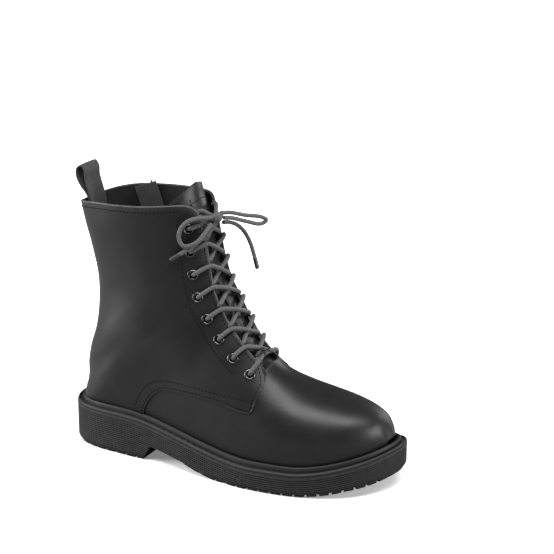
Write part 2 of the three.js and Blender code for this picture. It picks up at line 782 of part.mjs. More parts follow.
function tongueSolid() {
  const rounds = spread(8).map((t) => 2 * t - 1);
  const pointAt = (v, share, depth) => {
    const u = mix(tongueStart, tongueTop - 0.018 * Math.abs(share) ** 1.5, v);
    const half = mix(tongueBottomHalf, tongueTopHalf, smooth(0.2, 1, v));
    return onInstep(u, share * half, depth).point;
  };
  const [outer, inner] = [-1, wall + 4 * tongueThickness].map((depth) => (
    spread(10).map((v) => rounds.map((share) => pointAt(v, share, depth)))
  ));
  const region = ringSolid(outer.map((row, r) => [...row, ...inner[r].slice().reverse()]), 'strip');
  const face = lastSolid(wall + pieceGap, footDrop);
  const back = lastSolid(wall + pieceGap + tongueThickness, 2 * footDrop);
  const leanStart = 0.87 * bootHeight;
  const leanEnd = 1.05 * bootHeight;
  return face.subtract(back).intersect(region).warp((p) => {
    const share = Math.min(1, Math.abs(p[1]) / tongueTopHalf);
    p[0] -= tongueLean * smooth(leanStart, leanEnd, p[2]) * (1 - share * share);
  });
}

// A bent bar of even thickness: rings of sides points round a path through the given points
function cordAlong(points, steps, radius, sides) {
  const path = new THREE.CatmullRomCurve3(points, false, 'centripetal');
  const frames = path.computeFrenetFrames(steps, false);
  const rings = spread(steps).map((t, k) => {
    const at = path.getPointAt(t);
    return Array.from({ length: sides }, (_, i) => {
      const turn = (2 * Math.PI * i) / sides;
      return at.clone()
        .addScaledVector(frames.normals[k], radius * Math.cos(turn))
        .addScaledVector(frames.binormals[k], radius * Math.sin(turn));
    });
  });
  return ringSolid(rings);
}

// Leather strip on the tongue that keeps a lace in place
function keeperSolid() {
  const [from, to] = KEEPER.stations;
  const keeperDepth = wall - pieceGap;
  const pointAt = (v, w, depth) => onInstep(mix(from, to, v), mix(...KEEPER.rounds, w), depth).point;
  const [outer, inner] = [keeperDepth - keeperThickness, keeperDepth].map((depth) => (
    spread(5).map((v) => spread(3).map((w) => pointAt(v, w, depth)))
  ));
  return ringSolid(outer.map((row, r) => [...row, ...inner[r].slice().reverse()]), 'strip');
}

// The laces between the flaps. Every strand comes up from under one flap beside an eyelet,
// crosses the throat and lies over the other flap as far as the next eyelet up
const overFlap = -(laceRadius + eyeletLift);
const laceEnd = (u) => throat('eyelet', u) - eyeletFlange - 2 * pieceGap;

function strandSolid(k, side, middleDepth, startDepth) {
  const upper = eyeletStations[k];
  const lower = eyeletStations[k + 1];
  const start = mix(lower, upper, 0.3);
  const edge = mix(lower, upper, 0.9);
  const points = [
    onInstep(start, side * (throat('half', start) - 1.5), startDepth),
    onInstep(mix(lower, upper, 0.52), side * 4, middleDepth),
    onInstep(mix(lower, upper, 0.72), -side * 6, mix(middleDepth, overFlap, 0.5)),
    onInstep(edge, -side * throat('half', edge), overFlap),
    onInstep(upper, -side * laceEnd(upper), overFlap),
  ];
  return cordAlong(points.map((place) => place.point), 5, laceRadius, 6);
}

// The strand towards the outer side lies on top. Both pass over the keeper where it is
function crossingSolid(k) {
  const middle = mix(eyeletStations[k], eyeletStations[k + 1], 0.4);
  const [from, to] = KEEPER.stations;
  const raise = middle > from - 0.02 && middle < to + 0.02 ? keeperThickness + pieceGap : 0;
  const start = 0.6 - 0.7 * raise;
  return strandSolid(k, -1, 0.5 - raise, start).add(strandSolid(k, 1, -1.7 - raise, start));
}

function barSolid() {
  const u = eyeletStations[eyeletCount - 1];
  const half = throat('half', u);
  const places = [-laceEnd(u), -half, 0, half, laceEnd(u)].map((round) => (
    onInstep(u, round, round === 0 ? 0.4 : overFlap)
  ));
  return cordAlong(places.map((place) => place.point), 6, laceRadius, 6);
}

// Pull loop: webbing that comes up from behind the lining, turns over and goes down again.
// It follows the round of the heel, less so towards its top
function pullLoopSolid() {
  const middle = new THREE.CatmullRomCurve3(LOOP_PATH.map((row) => (
    new THREE.Vector3(row.along * soleLength, 0, row.up * bootHeight)
  )), false, 'centripetal');
  const steps = 13;
  const grids = [-1, 1].map((sign) => spread(steps).map((t) => {
    const at = middle.getPointAt(t);
    const tangent = middle.getTangentAt(t);
    return spread(3).map((w) => {
      const y = (w - 0.5) * loopWidth;
      const bend = mix(1 / 40, 1 / 200, smooth(0.93 * bootHeight, 1.04 * bootHeight, at.z));
      const half = (sign * loopThickness) / 2;
      return new THREE.Vector3(at.x + tangent.z * half + y * y * bend, y, at.z - tangent.x * half);
    });
  }));
  const [outer, inner] = grids;
  return ringSolid(outer.map((row, r) => [...row, ...inner[r].slice().reverse()]), 'strip');
}

// Zip: its tape lies behind the wall, with the closed chain standing in the slot
const zipTop = 0.045;
const tapeDepth = wall + pieceGap;

function zipRegion(half, outerDepth, innerDepth, from, to, steps) {
  const grids = [outerDepth, innerDepth].map((depth) => spread(steps).map((v) => (
    [-1, 0, 1].map((side) => onZip(mix(from, to, v), side * half, depth).point)
  )));
  const [outer, inner] = grids;
  return ringSolid(outer.map((row, r) => [...row, ...inner[r].slice().reverse()]), 'strip');
}

function zipTapeSolid() {
  const tape = lastSolid(tapeDepth, footDrop).subtract(lastSolid(tapeDepth + tapeThickness, 2 * footDrop));
  const strip = tape.intersect(zipRegion(zipTapeWidth / 2, -1, 4 * wall, zipTop, 0.985, 4));
  return strip.add(zipRegion(chainWidth / 2, chainSink, tapeDepth + 0.6 * tapeThickness, zipTop, 0.985, 6));
}

// The slider stands on the chain. Its own frame: x across the zip, y outwards, z up the zip
const sliderPlace = onZip(sliderAlong, 0, chainSink - pieceGap);
const sliderFrame = (() => {
  const [above, below] = [-0.05, 0.05].map((step) => onZip(sliderAlong + step, 0, chainSink).point);
  const up = above.sub(below);
  const out = sliderPlace.normal.clone();
  const across = out.clone().cross(up).normalize();
  const along = across.clone().cross(out).normalize();
  return new THREE.Matrix4().makeBasis(across, out, along).setPosition(sliderPlace.point);
})();
const inSliderFrame = (geometry) => geometryOf(solidOf(geometry.applyMatrix4(sliderFrame)));

// A side view of the slider or its pull, z to the right and y up, made as wide as asked
function profileSolid(outline, holes, width) {
  const path = (rows) => rows.map(([z, y]) => new THREE.Vector2(z, y));
  const shape = new THREE.Shape(path(outline));
  holes.forEach((hole) => shape.holes.push(new THREE.Path(path(hole))));
  const geometry = new THREE.ExtrudeGeometry(shape, { depth: width, bevelEnabled: false });
  geometry.translate(0, 0, -width / 2);
  geometry.applyMatrix4(new THREE.Matrix4().makeBasis(
    new THREE.Vector3(0, 0, 1), new THREE.Vector3(0, 1, 0), new THREE.Vector3(-1, 0, 0),
  ));
  return solidOf(geometry);
}

const barHeight = sliderThickness + bailGap / 2;       // the ring's top bar, above the chain
const ringDrop = ringLength - ringThickness;           // from its top bar to its bottom bar

function sliderSolid() {
  const half = sliderLength / 2;
  const taper = 0.22 * sliderWidth;
  const plate = [
    [half, -sliderWidth / 2], [half, sliderWidth / 2],
    [-half, sliderWidth / 2 - taper], [-half, -sliderWidth / 2 + taper],
  ].map(([z, x]) => new THREE.Vector2(x, -z));
  const extrusion = { depth: sliderThickness, bevelEnabled: false };
  const body = new THREE.ExtrudeGeometry(new THREE.Shape(plate), extrusion);
  body.applyMatrix4(new THREE.Matrix4().makeBasis(
    new THREE.Vector3(1, 0, 0), new THREE.Vector3(0, 0, -1), new THREE.Vector3(0, 1, 0),
  ));
  const legs = bailLength / 2;
  const low = sliderThickness - 0.2;
  const top = sliderThickness + bailGap;
  const bailOutline = [
    [-legs, low], [legs, low], [legs, top + 0.3],
    [legs - 0.9, top + bailWall], [0.9 - legs, top + bailWall], [-legs, top + 0.3],
  ];
  const bailHole = [
    [-bailRun / 2, low + 0.3], [bailRun / 2, low + 0.3], [bailRun / 2, top], [-bailRun / 2, top],
  ];
  const bail = profileSolid(bailOutline, [bailHole], bailWidth);
  return solidOf(body).add(bail);
}

// The pull's metal ring lies flat, a rectangle with cut corners and a square bar
function pullRingSolid() {
  const half = ringWidth / 2;
  const corner = 1.6;
  const end = ringLength / 2;
  const outline = [
    [half - corner, end], [half, end - corner], [half, corner - end], [half - corner, -end],
    [corner - half, -end], [-half, corner - end], [-half, end - corner], [corner - half, end],
  ].map(([x, z]) => new THREE.Vector2(x, z));
  const extrusion = { depth: ringThickness, bevelEnabled: false };
  const plate = new THREE.ExtrudeGeometry(new THREE.Shape(outline), extrusion);
  plate.rotateX(Math.PI / 2);
  const inside = new THREE.BoxGeometry(
    ringWidth - 2 * ringThickness, 3 * ringThickness, ringLength - 2 * ringThickness,
  );
  const ring = solidOf(plate).subtract(solidOf(inside.translate(0, -ringThickness / 2, 0)));
  return ring.translate([0, barHeight + ringThickness / 2, -ringDrop / 2]);
}

// The leather tab hangs from the ring's bottom bar in a folded eye
function tabSolid() {
  const eye = ringThickness / 2 + pieceGap;
  const fold = eye + tabThickness / 2;
  const z = -ringDrop;
  const y = barHeight;
  const foldOutline = [
    [z + fold, y - eye], [z + fold, y + eye], [z + eye, y + fold], [z - 2 * fold, y + fold],
    [z - 2 * fold, y - fold], [z + eye, y - fold],
  ];
  const hole = [[z - eye, y - eye], [z + eye, y - eye], [z + eye, y + eye], [z - eye, y + eye]];
  const foldPart = profileSolid(foldOutline, [hole], foldWidth);
  const tip = z - fold - tabLength;
  const half = tabThickness;
  const top = z - 1.4 * fold;
  const strapOutline = [[top, y - half], [top, y + half], [tip, y + half], [tip, y - half]];
  const strap = profileSolid(strapOutline, [], tabWidth);
  return foldPart.add(strap);
}

// The bow, in millimetres in the boot's frame. The ends of the lace come up from under the
// flaps into the knot, which lets out two loops and two loose ends
const KNOT = {
  at: [132.2, -5.6, 206.4],
  size: [4, 5.4, 4],
  station: 0.95,
};
const BOW = {
  lace_loop_outer: [
    [131.6, -12, 207.6], [130, -16, 208.3], [124.7, -22.4, 208.7],
    [119.4, -28, 207], [114.4, -31.4, 200.4], [113.9, -32.2, 192.4],
    [117.3, -30.8, 187.4], [125.3, -26.2, 190], [129.9, -19.6, 197],
    [132, -12.8, 202.8],
  ],
  lace_end_outer: [
    [131.6, -10.6, 198.8], [128.2, -15.4, 194], [122.6, -24, 187.4],
    [115.9, -30.6, 182], [107.1, -34.3, 175.8],
  ],
  lace_loop_inner: [
    [132.6, 0.8, 208.2], [137, 9, 207], [143.6, 21.6, 202.4],
    [152.6, 31.4, 199.6], [156, 34, 196.8], [152.6, 31, 194],
    [145, 21.4, 197.4], [138.8, 8.6, 202.8], [135.4, 1, 204.6],
  ],
  lace_end_inner: [
    [134.4, 1.6, 200.6], [135.6, 9, 198.8], [137.2, 17.6, 195],
    [139.8, 25.4, 188], [143.4, 30, 177], [148.8, 32, 155.7],
  ],
};

function knotSolid() {
  const ball = new THREE.SphereGeometry(1, 8, 6).scale(...KNOT.size).translate(...KNOT.at);
  const into = new THREE.Vector3(...KNOT.at);
  const tails = [-1, 1].map((side) => {
    const under = onInstep(KNOT.station, side * (throat('half', KNOT.station) - 1.5), 0.6).point;
    return cordAlong([under, under.clone().lerp(into, 0.5), into], 2, laceRadius, 6);
  });
  return solidOf(ball).add(tails[0]).add(tails[1]);
}

const CORDS = ['lace_knot', ...Object.keys(BOW)];

const group = new THREE.Group();
const finish = (color, roughness, metalness = 0) => (
  new THREE.MeshStandardMaterial({ color, roughness, metalness })
);
const leather = finish(0x1c1c1d, 0.42);
const lining = finish(0x141414, 0.8);
const rubber = finish(0x222223, 0.75);
const webbing = finish(0x1e1e1f, 0.9);
const cord = finish(0x2a2a2b, 0.85);
const darkMetal = finish(0x2c2c2e, 0.3, 0.9);

function add(name, geometry, material) {
  const mesh = new THREE.Mesh(geometry, material);
  mesh.name = name;
  group.add(mesh);
  return mesh;
}

add('outsole', geometryOf(outsoleSolid()), rubber);
add('welt', geometryOf(weltSolid()), rubber);
add('insole', geometryOf(insoleSolid()), lining);
add('upper', geometryOf(upperSolid()), leather);
add('tongue', geometryOf(tongueSolid()), leather);

for (let k = 0; k < eyeletCount; k += 1) {
  add(`eyelet_outer_${k + 1}`, eyeletGeometry(k, -1), darkMetal);
  add(`eyelet_inner_${k + 1}`, eyeletGeometry(k, 1), darkMetal);
}

add('tongue_keeper', geometryOf(keeperSolid()), leather);
for (let k = 0; k < eyeletCount - 1; k += 1) {
  add(`lace_cross_${k + 1}`, geometryOf(crossingSolid(k)), cord);
}
add('lace_bar', geometryOf(barSolid()), cord);

add('pull_loop', geometryOf(pullLoopSolid()), webbing);
add('zip_tape', geometryOf(zipTapeSolid()), webbing);
const placed = (solid) => inSliderFrame(geometryOf(solid));
add('zip_slider', placed(sliderSolid()), darkMetal);
add('zip_pull_ring', placed(pullRingSolid()), darkMetal);
add('zip_pull_tab', placed(tabSolid()), leather);

add('lace_knot', geometryOf(knotSolid()), cord);
for (const [name, rows] of Object.entries(BOW)) {
  const points = rows.map((row) => new THREE.Vector3(...row));
  const steps = Math.max(3, Math.round(new THREE.CatmullRomCurve3(points).getLength() / (5 * laceRadius)));
  add(name, geometryOf(cordAlong(points, steps, laceRadius, 8)), cord);
}

// The origin: the middle of the boot's box seen from above, on the floor
group.updateMatrixWorld(true);
const box = new THREE.Box3();
for (const mesh of group.children) {
  if (!CORDS.includes(mesh.name)) box.expandByObject(mesh, true);
}
const middle = box.getCenter(new THREE.Vector3());
group.position.set(-middle.x, -middle.y, -box.min.z);

export default group;
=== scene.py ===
# %% [markdown]
# # A combat boot for the right foot
# The boot stands empty on its sole. Its solids were worked out in another program and
# are loaded here as a fixed frame. Each cell below dresses one piece of the boot and
# says what that piece is on the real boot and how it is made in Blender.

from collections import namedtuple
from functools import lru_cache
from math import acos, cos, hypot, pi, radians, sin

import bpy
import numpy as np
from mathutils import Matrix, Vector
from mathutils.bvhtree import BVHTree
from mathutils.kdtree import KDTree


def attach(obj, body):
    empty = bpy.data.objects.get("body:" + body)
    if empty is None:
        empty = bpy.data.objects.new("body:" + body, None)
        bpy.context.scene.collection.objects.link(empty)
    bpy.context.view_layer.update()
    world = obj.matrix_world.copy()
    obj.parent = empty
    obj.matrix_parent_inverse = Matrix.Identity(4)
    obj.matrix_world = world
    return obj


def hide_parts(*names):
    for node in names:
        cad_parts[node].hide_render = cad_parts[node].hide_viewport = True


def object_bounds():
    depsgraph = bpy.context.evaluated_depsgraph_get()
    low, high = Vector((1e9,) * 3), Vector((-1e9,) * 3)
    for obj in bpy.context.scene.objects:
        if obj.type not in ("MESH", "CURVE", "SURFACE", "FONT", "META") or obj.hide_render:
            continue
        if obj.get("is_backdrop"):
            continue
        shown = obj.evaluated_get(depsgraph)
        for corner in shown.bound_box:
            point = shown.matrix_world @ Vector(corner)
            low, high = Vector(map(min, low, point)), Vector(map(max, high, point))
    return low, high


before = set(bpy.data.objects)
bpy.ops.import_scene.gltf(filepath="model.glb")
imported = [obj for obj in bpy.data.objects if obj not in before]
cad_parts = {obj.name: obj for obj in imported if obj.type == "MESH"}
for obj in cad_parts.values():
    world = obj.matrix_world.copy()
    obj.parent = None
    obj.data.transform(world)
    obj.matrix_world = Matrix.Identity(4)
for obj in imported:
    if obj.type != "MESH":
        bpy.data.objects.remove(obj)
CAD_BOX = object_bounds()
print("CAD box", [round(value * 1000, 1) for corner in CAD_BOX for value in corner])

# %% [markdown]
# ## The camera
# The photograph looks down on the outer side of the boot from in front. The camera
# comes first, because every shape after it is judged through it.

# %% Camera
camera_data = bpy.data.cameras.new("camera")
camera_data.lens = 113.26
camera_data.sensor_width = 36
camera = bpy.data.objects.new("camera", camera_data)
camera.location = (0.6241, -1.1505, 0.5944)
camera.rotation_euler = (radians(71.5), 0, radians(27))
bpy.context.collection.objects.link(camera)
bpy.context.scene.camera = camera
print("camera", tuple(round(value, 3) for value in camera.location))

# %% [markdown]
# ## Numbers in millimetres
# The boot's solids were worked out in millimetres with X = 0 at the back of the sole.
# The same numbers are used here, and one function brings them into the frame.

# %% From millimetres to the frame
SHIFT = np.array([-143.864, -1.776, 0.0])


def metres(points):
    return (np.asarray(points, float) + SHIFT) / 1000


def table(text):
    """Rows of named columns. A dash is a number that the row doesn't have."""
    labels, *lines = [line.split() for line in text.strip().splitlines()]
    rows = []
    for line in lines:
        row = dict(zip(labels, line))
        for label in labels:
            if label != "name":
                row[label] = None if row[label] == "-" else float(row[label])
        rows.append(row)
    return rows


def mix(a, b, t):
    return a + (b - a) * t


def smooth(start, end, x):
    t = min(1.0, max(0.0, (x - start) / (end - start)))
    return t * t * (3 - 2 * t)


def spread(count):
    return [i / count for i in range(count + 1)]


# %% A smooth line through points
def run_of(line):
    """The distance along a line at each of its points."""
    return np.concatenate([[0], np.cumsum(np.linalg.norm(np.diff(line, axis=0), axis=1))])


def ways_of(line):
    """The way ahead at each point of a line."""
    way = np.gradient(line, axis=0)
    return way / np.linalg.norm(way, axis=1)[:, None]


def smooth_line(points, steps, closed=False):
    """steps + 1 points at even distances on a smooth curve through the given ones."""
    points = [np.array(p, float) for p in points]
    if closed:
        points = [points[-1], *points, points[0], points[1]]
    else:
        points = [2 * points[0] - points[1], *points, 2 * points[-1] - points[-2]]
    fine = []
    for a, b, c, d in zip(points, points[1:], points[2:], points[3:]):
        gaps = [max(1e-9, np.linalg.norm(q - p)) ** 0.5 for p, q in ((a, b), (b, c), (c, d))]
        leave = (b - a) / gaps[0] - (c - a) / (gaps[0] + gaps[1]) + (c - b) / gaps[1]
        arrive = (c - b) / gaps[1] - (d - b) / (gaps[1] + gaps[2]) + (d - c) / gaps[2]
        leave, arrive = leave * gaps[1], arrive * gaps[1]
        for t in np.linspace(0, 1, 24, endpoint=False):
            curve = b + leave * t + (3 * (c - b) - 2 * leave - arrive) * t ** 2
            fine.append(curve + (2 * (b - c) + leave + arrive) * t ** 3)
    fine.append(points[-2])
    fine = np.array(fine)
    run = run_of(fine)
    at = np.linspace(0, run[-1], steps + 1)
    return np.stack([np.interp(at, run, fine[:, k]) for k in range(fine.shape[1])], axis=1)


def line_through(rows, steps):
    """A smooth line through a table's rows."""
    return smooth_line([list(row.values()) for row in rows], steps)


def length_of(line):
    return float(np.linalg.norm(np.diff(line, axis=0), axis=1).sum())


# %% [markdown]
# ## Working by hand
# Every operator acts on what is selected, and the loaded solids come in selected. So
# each piece starts with nothing selected. A piece that follows a bent surface starts
# as a flat grid, whose points are then laid one by one where the surface is. The grid
# keeps its UV map, so a weave or a braid can follow the piece.

# %% Selecting and finishing
def nothing_selected():
    if bpy.context.object and bpy.context.object.mode != "OBJECT":
        bpy.ops.object.mode_set(mode="OBJECT")
    bpy.ops.object.select_all(action="DESELECT")


def only(obj):
    nothing_selected()
    obj.select_set(True)
    bpy.context.view_layer.objects.active = obj
    return obj


def in_edit_mode(obj, *steps):
    """Runs mesh operators one after the other with the whole mesh selected first."""
    only(obj)
    bpy.ops.object.mode_set(mode="EDIT")
    bpy.ops.mesh.select_all(action="SELECT")
    for step in steps:
        step()
    bpy.ops.object.mode_set(mode="OBJECT")


def add_modifier(obj, kind, **settings):
    """Adds a modifier with these settings and applies it."""
    only(obj)
    modifier = obj.modifiers.new(kind.lower(), kind)
    for key, value in settings.items():
        setattr(modifier, key, value)
    bpy.ops.object.modifier_apply(modifier=modifier.name)
    return obj


def bevelled(obj, width, sharp):
    """Rounds every edge that turns by more than sharp degrees."""
    return add_modifier(obj, "BEVEL", width=width / 1000, segments=3, limit_method="ANGLE",
                        angle_limit=radians(sharp))


def cut(obj, tool, operation="DIFFERENCE", keep_tool=False):
    add_modifier(obj, "BOOLEAN", operation=operation, solver="MANIFOLD", object=tool)
    if not keep_tool:
        bpy.data.objects.remove(tool)
    return obj


def joined(objects, name):
    nothing_selected()
    for obj in objects:
        obj.select_set(True)
    bpy.context.view_layer.objects.active = objects[0]
    if len(objects) > 1:
        bpy.ops.object.join()
    obj = bpy.context.object
    obj.name = name
    obj.data.name = name
    return obj


def done(obj, name, material, nodes=(), body="boot", angle=35):
    """Names, shades and paints a finished piece, and ties it to the frame."""
    only(obj)
    bpy.ops.object.shade_smooth_by_angle(angle=radians(angle))
    obj.name = name
    obj.data.name = name
    if material is not None:
        obj.data.materials.clear()
        obj.data.materials.append(material)
    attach(obj, body)
    if nodes:
        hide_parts(*nodes)
    print(name, len(obj.data.polygons), "faces")
    return obj


# %% Laying a grid on a surface
def laid(name, rows, around=False, uv=(1, 1)):
    """A grid whose points go where rows says, in millimetres. around joins its sides."""
    rows = np.asarray(rows, float)
    if around:
        rows = np.concatenate([rows, rows[:, :1]], axis=1)
    high, wide = rows.shape[0] - 1, rows.shape[1] - 1
    nothing_selected()
    bpy.ops.mesh.primitive_grid_add(x_subdivisions=wide, y_subdivisions=high, size=1)
    obj = bpy.context.object
    obj.name = name
    mesh = obj.data
    flat = np.empty(len(mesh.vertices) * 3)
    mesh.vertices.foreach_get("co", flat)
    flat = flat.reshape(-1, 3)
    column = np.rint((flat[:, 0] + 0.5) * wide).astype(int)
    row = np.rint((flat[:, 1] + 0.5) * high).astype(int)
    mesh.vertices.foreach_set("co", metres(rows[row, column]).ravel())
    for corner in mesh.uv_layers.active.data:
        corner.uv = (corner.uv[0] * uv[0], corner.uv[1] * uv[1])
    mesh.update()
    return obj


def weld():
    bpy.ops.mesh.remove_doubles(threshold=1e-6)


def close_ends():
    bpy.ops.mesh.select_all(action="DESELECT")
    bpy.ops.mesh.select_non_manifold()
    bpy.ops.mesh.fill_holes(sides=0)
    bpy.ops.mesh.select_all(action="SELECT")


def face_out():
    bpy.ops.mesh.normals_make_consistent(inside=False)


def body(name, rings, uv=(1, 1)):
    """A closed body through rings of the same number of points."""
    obj = laid(name, rings, around=True, uv=uv)
    in_edit_mode(obj, weld, close_ends, face_out)
    return obj


def sheet_body(name, outer, inner):
    """A closed body between an outer and an inner sheet of points."""
    return body(name, [list(a) + list(b)[::-1] for a, b in zip(outer, inner)])


def side_block(name, outline, low, high):
    """A shape drawn in the side view as [x, z] points, made wide across the boot."""
    rings = [[(x, y, z) for x, z in outline] for y in (low, high)]
    return body(name, rings)


# %% A tube along a line
def tube_rings(line, radius, sides):
    """Rings of points round a line. radius is a number, or one for each point."""
    line = np.asarray(line, float)
    radii = np.broadcast_to(radius, len(line))
    ahead = ways_of(line)
    across = np.cross(ahead[0], [0.3, 0.2, 1])
    rings = []
    for point, way, size in zip(line, ahead, radii):
        across = across - way * np.dot(across, way)
        across /= np.linalg.norm(across)
        other = np.cross(way, across)
        turns = [2 * pi * k / sides for k in range(sides)]
        rings.append([point + size * (across * cos(a) + other * sin(a)) for a in turns])
    return rings


def tube(name, line, radius, sides=12):
    turns = length_of(line) / (2 * pi * float(np.mean(radius)))
    return body(name, tube_rings(line, radius, sides), uv=(1, turns))


# %% [markdown]
# ## Grain, wear and painted highlight, and braid as node groups
# Leather, rubber and cord share a few effects. Each is a node group that is built once
# and placed in every material with its own values. A group puts out only heights,
# masks and colours. The shader itself stays in each material.

# %% Building a node group
def node_group(name, inputs, outputs):
    tree = bpy.data.node_groups.new(name, "ShaderNodeTree")
    for label, kind, value in inputs:
        socket = tree.interface.new_socket(label, in_out="INPUT", socket_type=kind)
        if value is not None:
            socket.default_value = value
    for label, kind in outputs:
        tree.interface.new_socket(label, in_out="OUTPUT", socket_type=kind)
    return tree, tree.nodes.new("NodeGroupInput"), tree.nodes.new("NodeGroupOutput")


def add_node(tree, kind, links=(), **settings):
    """A node with settings, and links given as (input, socket it comes from or a value)."""
    node = tree.nodes.new("ShaderNode" + kind)
    for key, value in settings.items():
        setattr(node, key, value)
    for place, source in links:
        if isinstance(source, bpy.types.NodeSocket):
            tree.links.new(source, node.inputs[place])
        else:
            node.inputs[place].default_value = source
    return node


def maths(tree, operation, a, b=0.0):
    return add_node(tree, "Math", [(0, a), (1, b)], operation=operation).outputs[0]


FLOAT, VECTOR, COLOUR = "NodeSocketFloat", "NodeSocketVector", "NodeSocketColor"

# %% Fine grain of leather and rubber
grain_group, given, result = node_group(
    "fine_grain",
    [("Place", VECTOR, None), ("Size", FLOAT, 900.0), ("Pores", FLOAT, 0.5)],
    [("Height", FLOAT), ("Cloud", FLOAT)],
)
at_place = ("Vector", given.outputs["Place"])
cells = add_node(grain_group, "TexVoronoi", [at_place, ("Scale", given.outputs["Size"])])
cells.feature = "SMOOTH_F1"
broad = add_node(grain_group, "TexNoise", [at_place, ("Scale", 38.0), ("Detail", 3.0)])
fine = add_node(grain_group, "TexNoise", [at_place, ("Scale", 420.0), ("Detail", 4.0)])
pores = maths(grain_group, "MULTIPLY", cells.outputs["Distance"], given.outputs["Pores"])
height = maths(grain_group, "ADD", pores, fine.outputs["Fac"])
grain_group.links.new(height, result.inputs["Height"])
grain_group.links.new(broad.outputs["Fac"], result.inputs["Cloud"])

# %% Wear and painted highlight along edges
wear_and_highlight_group, given, result = node_group(
    "edge_wear_and_highlight",
    [
        ("Place", VECTOR, None),
        ("Edge", FLOAT, 0.0),
        ("Base", COLOUR, (0.01, 0.01, 0.01, 1)),
        ("Worn", COLOUR, (0.05, 0.05, 0.05, 1)),
        ("Amount", FLOAT, 0.6),
    ],
    [("Colour", COLOUR)],
)
at_place = ("Vector", given.outputs["Place"])
patch = add_node(wear_and_highlight_group, "TexNoise", [at_place, ("Scale", 260.0), ("Detail", 5.0)])
broken = add_node(wear_and_highlight_group, "MapRange", [
    ("Value", patch.outputs["Fac"]),
    ("From Min", 0.35),
    ("From Max", 0.65),
])
# Near an edge the colour turns towards a paler grey: partly real wear of leather edges, partly a painted
# highlight where rounded edges and rib tops catch the light.
edge = maths(wear_and_highlight_group, "MULTIPLY", given.outputs["Edge"], given.outputs["Amount"])
mask = maths(wear_and_highlight_group, "MULTIPLY", edge, maths(wear_and_highlight_group, "ADD", broken.outputs["Result"], 0.5))
capped = maths(wear_and_highlight_group, "MINIMUM", mask, 1.0)
blend = add_node(wear_and_highlight_group, "Mix", data_type="RGBA")
wear_and_highlight_group.links.new(capped, blend.inputs["Factor"])
wear_and_highlight_group.links.new(given.outputs["Base"], blend.inputs["A"])
wear_and_highlight_group.links.new(given.outputs["Worn"], blend.inputs["B"])
wear_and_highlight_group.links.new(blend.outputs["Result"], result.inputs["Colour"])

# %% Braid and weave along a piece's own UV map
braid_group, given, result = node_group(
    "braid",
    [("Map", VECTOR, None), ("Across", FLOAT, 6.0), ("Along", FLOAT, 6.0)],
    [("Height", FLOAT), ("Gap_shade", FLOAT)],
)
split = add_node(braid_group, "SeparateXYZ", [(0, given.outputs["Map"])])
across = maths(braid_group, "MULTIPLY", split.outputs["X"], given.outputs["Across"])
along = maths(braid_group, "MULTIPLY", split.outputs["Y"], given.outputs["Along"])
strands = []
for way in ("ADD", "SUBTRACT"):
    phase = maths(braid_group, "MULTIPLY", maths(braid_group, way, across, along), 2 * pi)
    strands.append(maths(braid_group, "SINE", phase))
over = maths(braid_group, "MULTIPLY", strands[0], strands[1])
height = maths(braid_group, "MULTIPLY_ADD", over, 0.5)
height.node.inputs[2].default_value = 0.5
# The gaps between strands give the mask for their painted shade.
gap = add_node(braid_group, "MapRange", [("Value", height), ("From Min", 0.0), ("From Max", 0.35)])
braid_group.links.new(height, result.inputs["Height"])
braid_group.links.new(gap.outputs["Result"], result.inputs["Gap_shade"])
print("node groups", [group.name for group in bpy.data.node_groups])

# %% [markdown]
# ## The finishes
# Each finish is one Principled shader. Its colour and bump come from the groups, and a
# grained one's roughness too, so that light breaks up on it as on the real material.


# %% A material's frame
def place_group(tree, group, links):
    return add_node(tree, "Group", links, node_tree=group)


def new_material(name, **sockets):
    material = bpy.data.materials.new(name)
    material.use_nodes = True
    shader = material.node_tree.nodes["Principled BSDF"]
    for label, value in sockets.items():
        shader.inputs[label.replace("_", " ")].default_value = value
    where = add_node(material.node_tree, "TexCoord")
    return material, material.node_tree, shader, where


def bumped(tree, shader, height, distance):
    bump = add_node(tree, "Bump", [("Height", height), ("Strength", 1.0), ("Distance", distance)])
    tree.links.new(bump.outputs["Normal"], shader.inputs["Normal"])


def grey(value):
    return (value, value, value, 1)


# %% Leather, rubber and other grained finishes
def grained(name, base, worn, smoothest, roughest, grains, pores, depth, wear, specular,
            metallic):
    """A finish of grain and of paler edges, partly rubbed and partly a painted highlight, between its
    least and its most roughness.
    """
    material, tree, shader, where = new_material(
        name, Specular_IOR_Level=specular, Metallic=metallic
    )
    at_place = ("Place", where.outputs["Object"])
    grain = place_group(tree, grain_group, [at_place, ("Size", grains), ("Pores", pores)])
    near_edge = add_node(tree, "Attribute", attribute_name="edge")

    def by_cloud(low, high):
        """A value that wanders between two others from place to place."""
        cloud = [("Value", grain.outputs["Cloud"]), ("From Min", 0.3), ("From Max", 0.7)]
        links = [*cloud, ("To Min", low), ("To Max", high)]
        return add_node(tree, "MapRange", links).outputs["Result"]

    shaded = add_node(tree, "Mix", data_type="RGBA", blend_type="MULTIPLY")
    shaded.inputs["Factor"].default_value = 1
    shaded.inputs["A"].default_value = grey(base)
    tree.links.new(by_cloud(0.85, 1.15), shaded.inputs["B"])
    edges = place_group(tree, wear_and_highlight_group, [
        at_place,
        ("Edge", near_edge.outputs["Fac"]),
        ("Base", shaded.outputs["Result"]),
        ("Worn", grey(worn)),
        ("Amount", wear),
    ])
    tree.links.new(edges.outputs["Colour"], shader.inputs["Base Color"])
    tree.links.new(by_cloud(smoothest, roughest), shader.inputs["Roughness"])
    bumped(tree, shader, grain.outputs["Height"], depth)
    return material
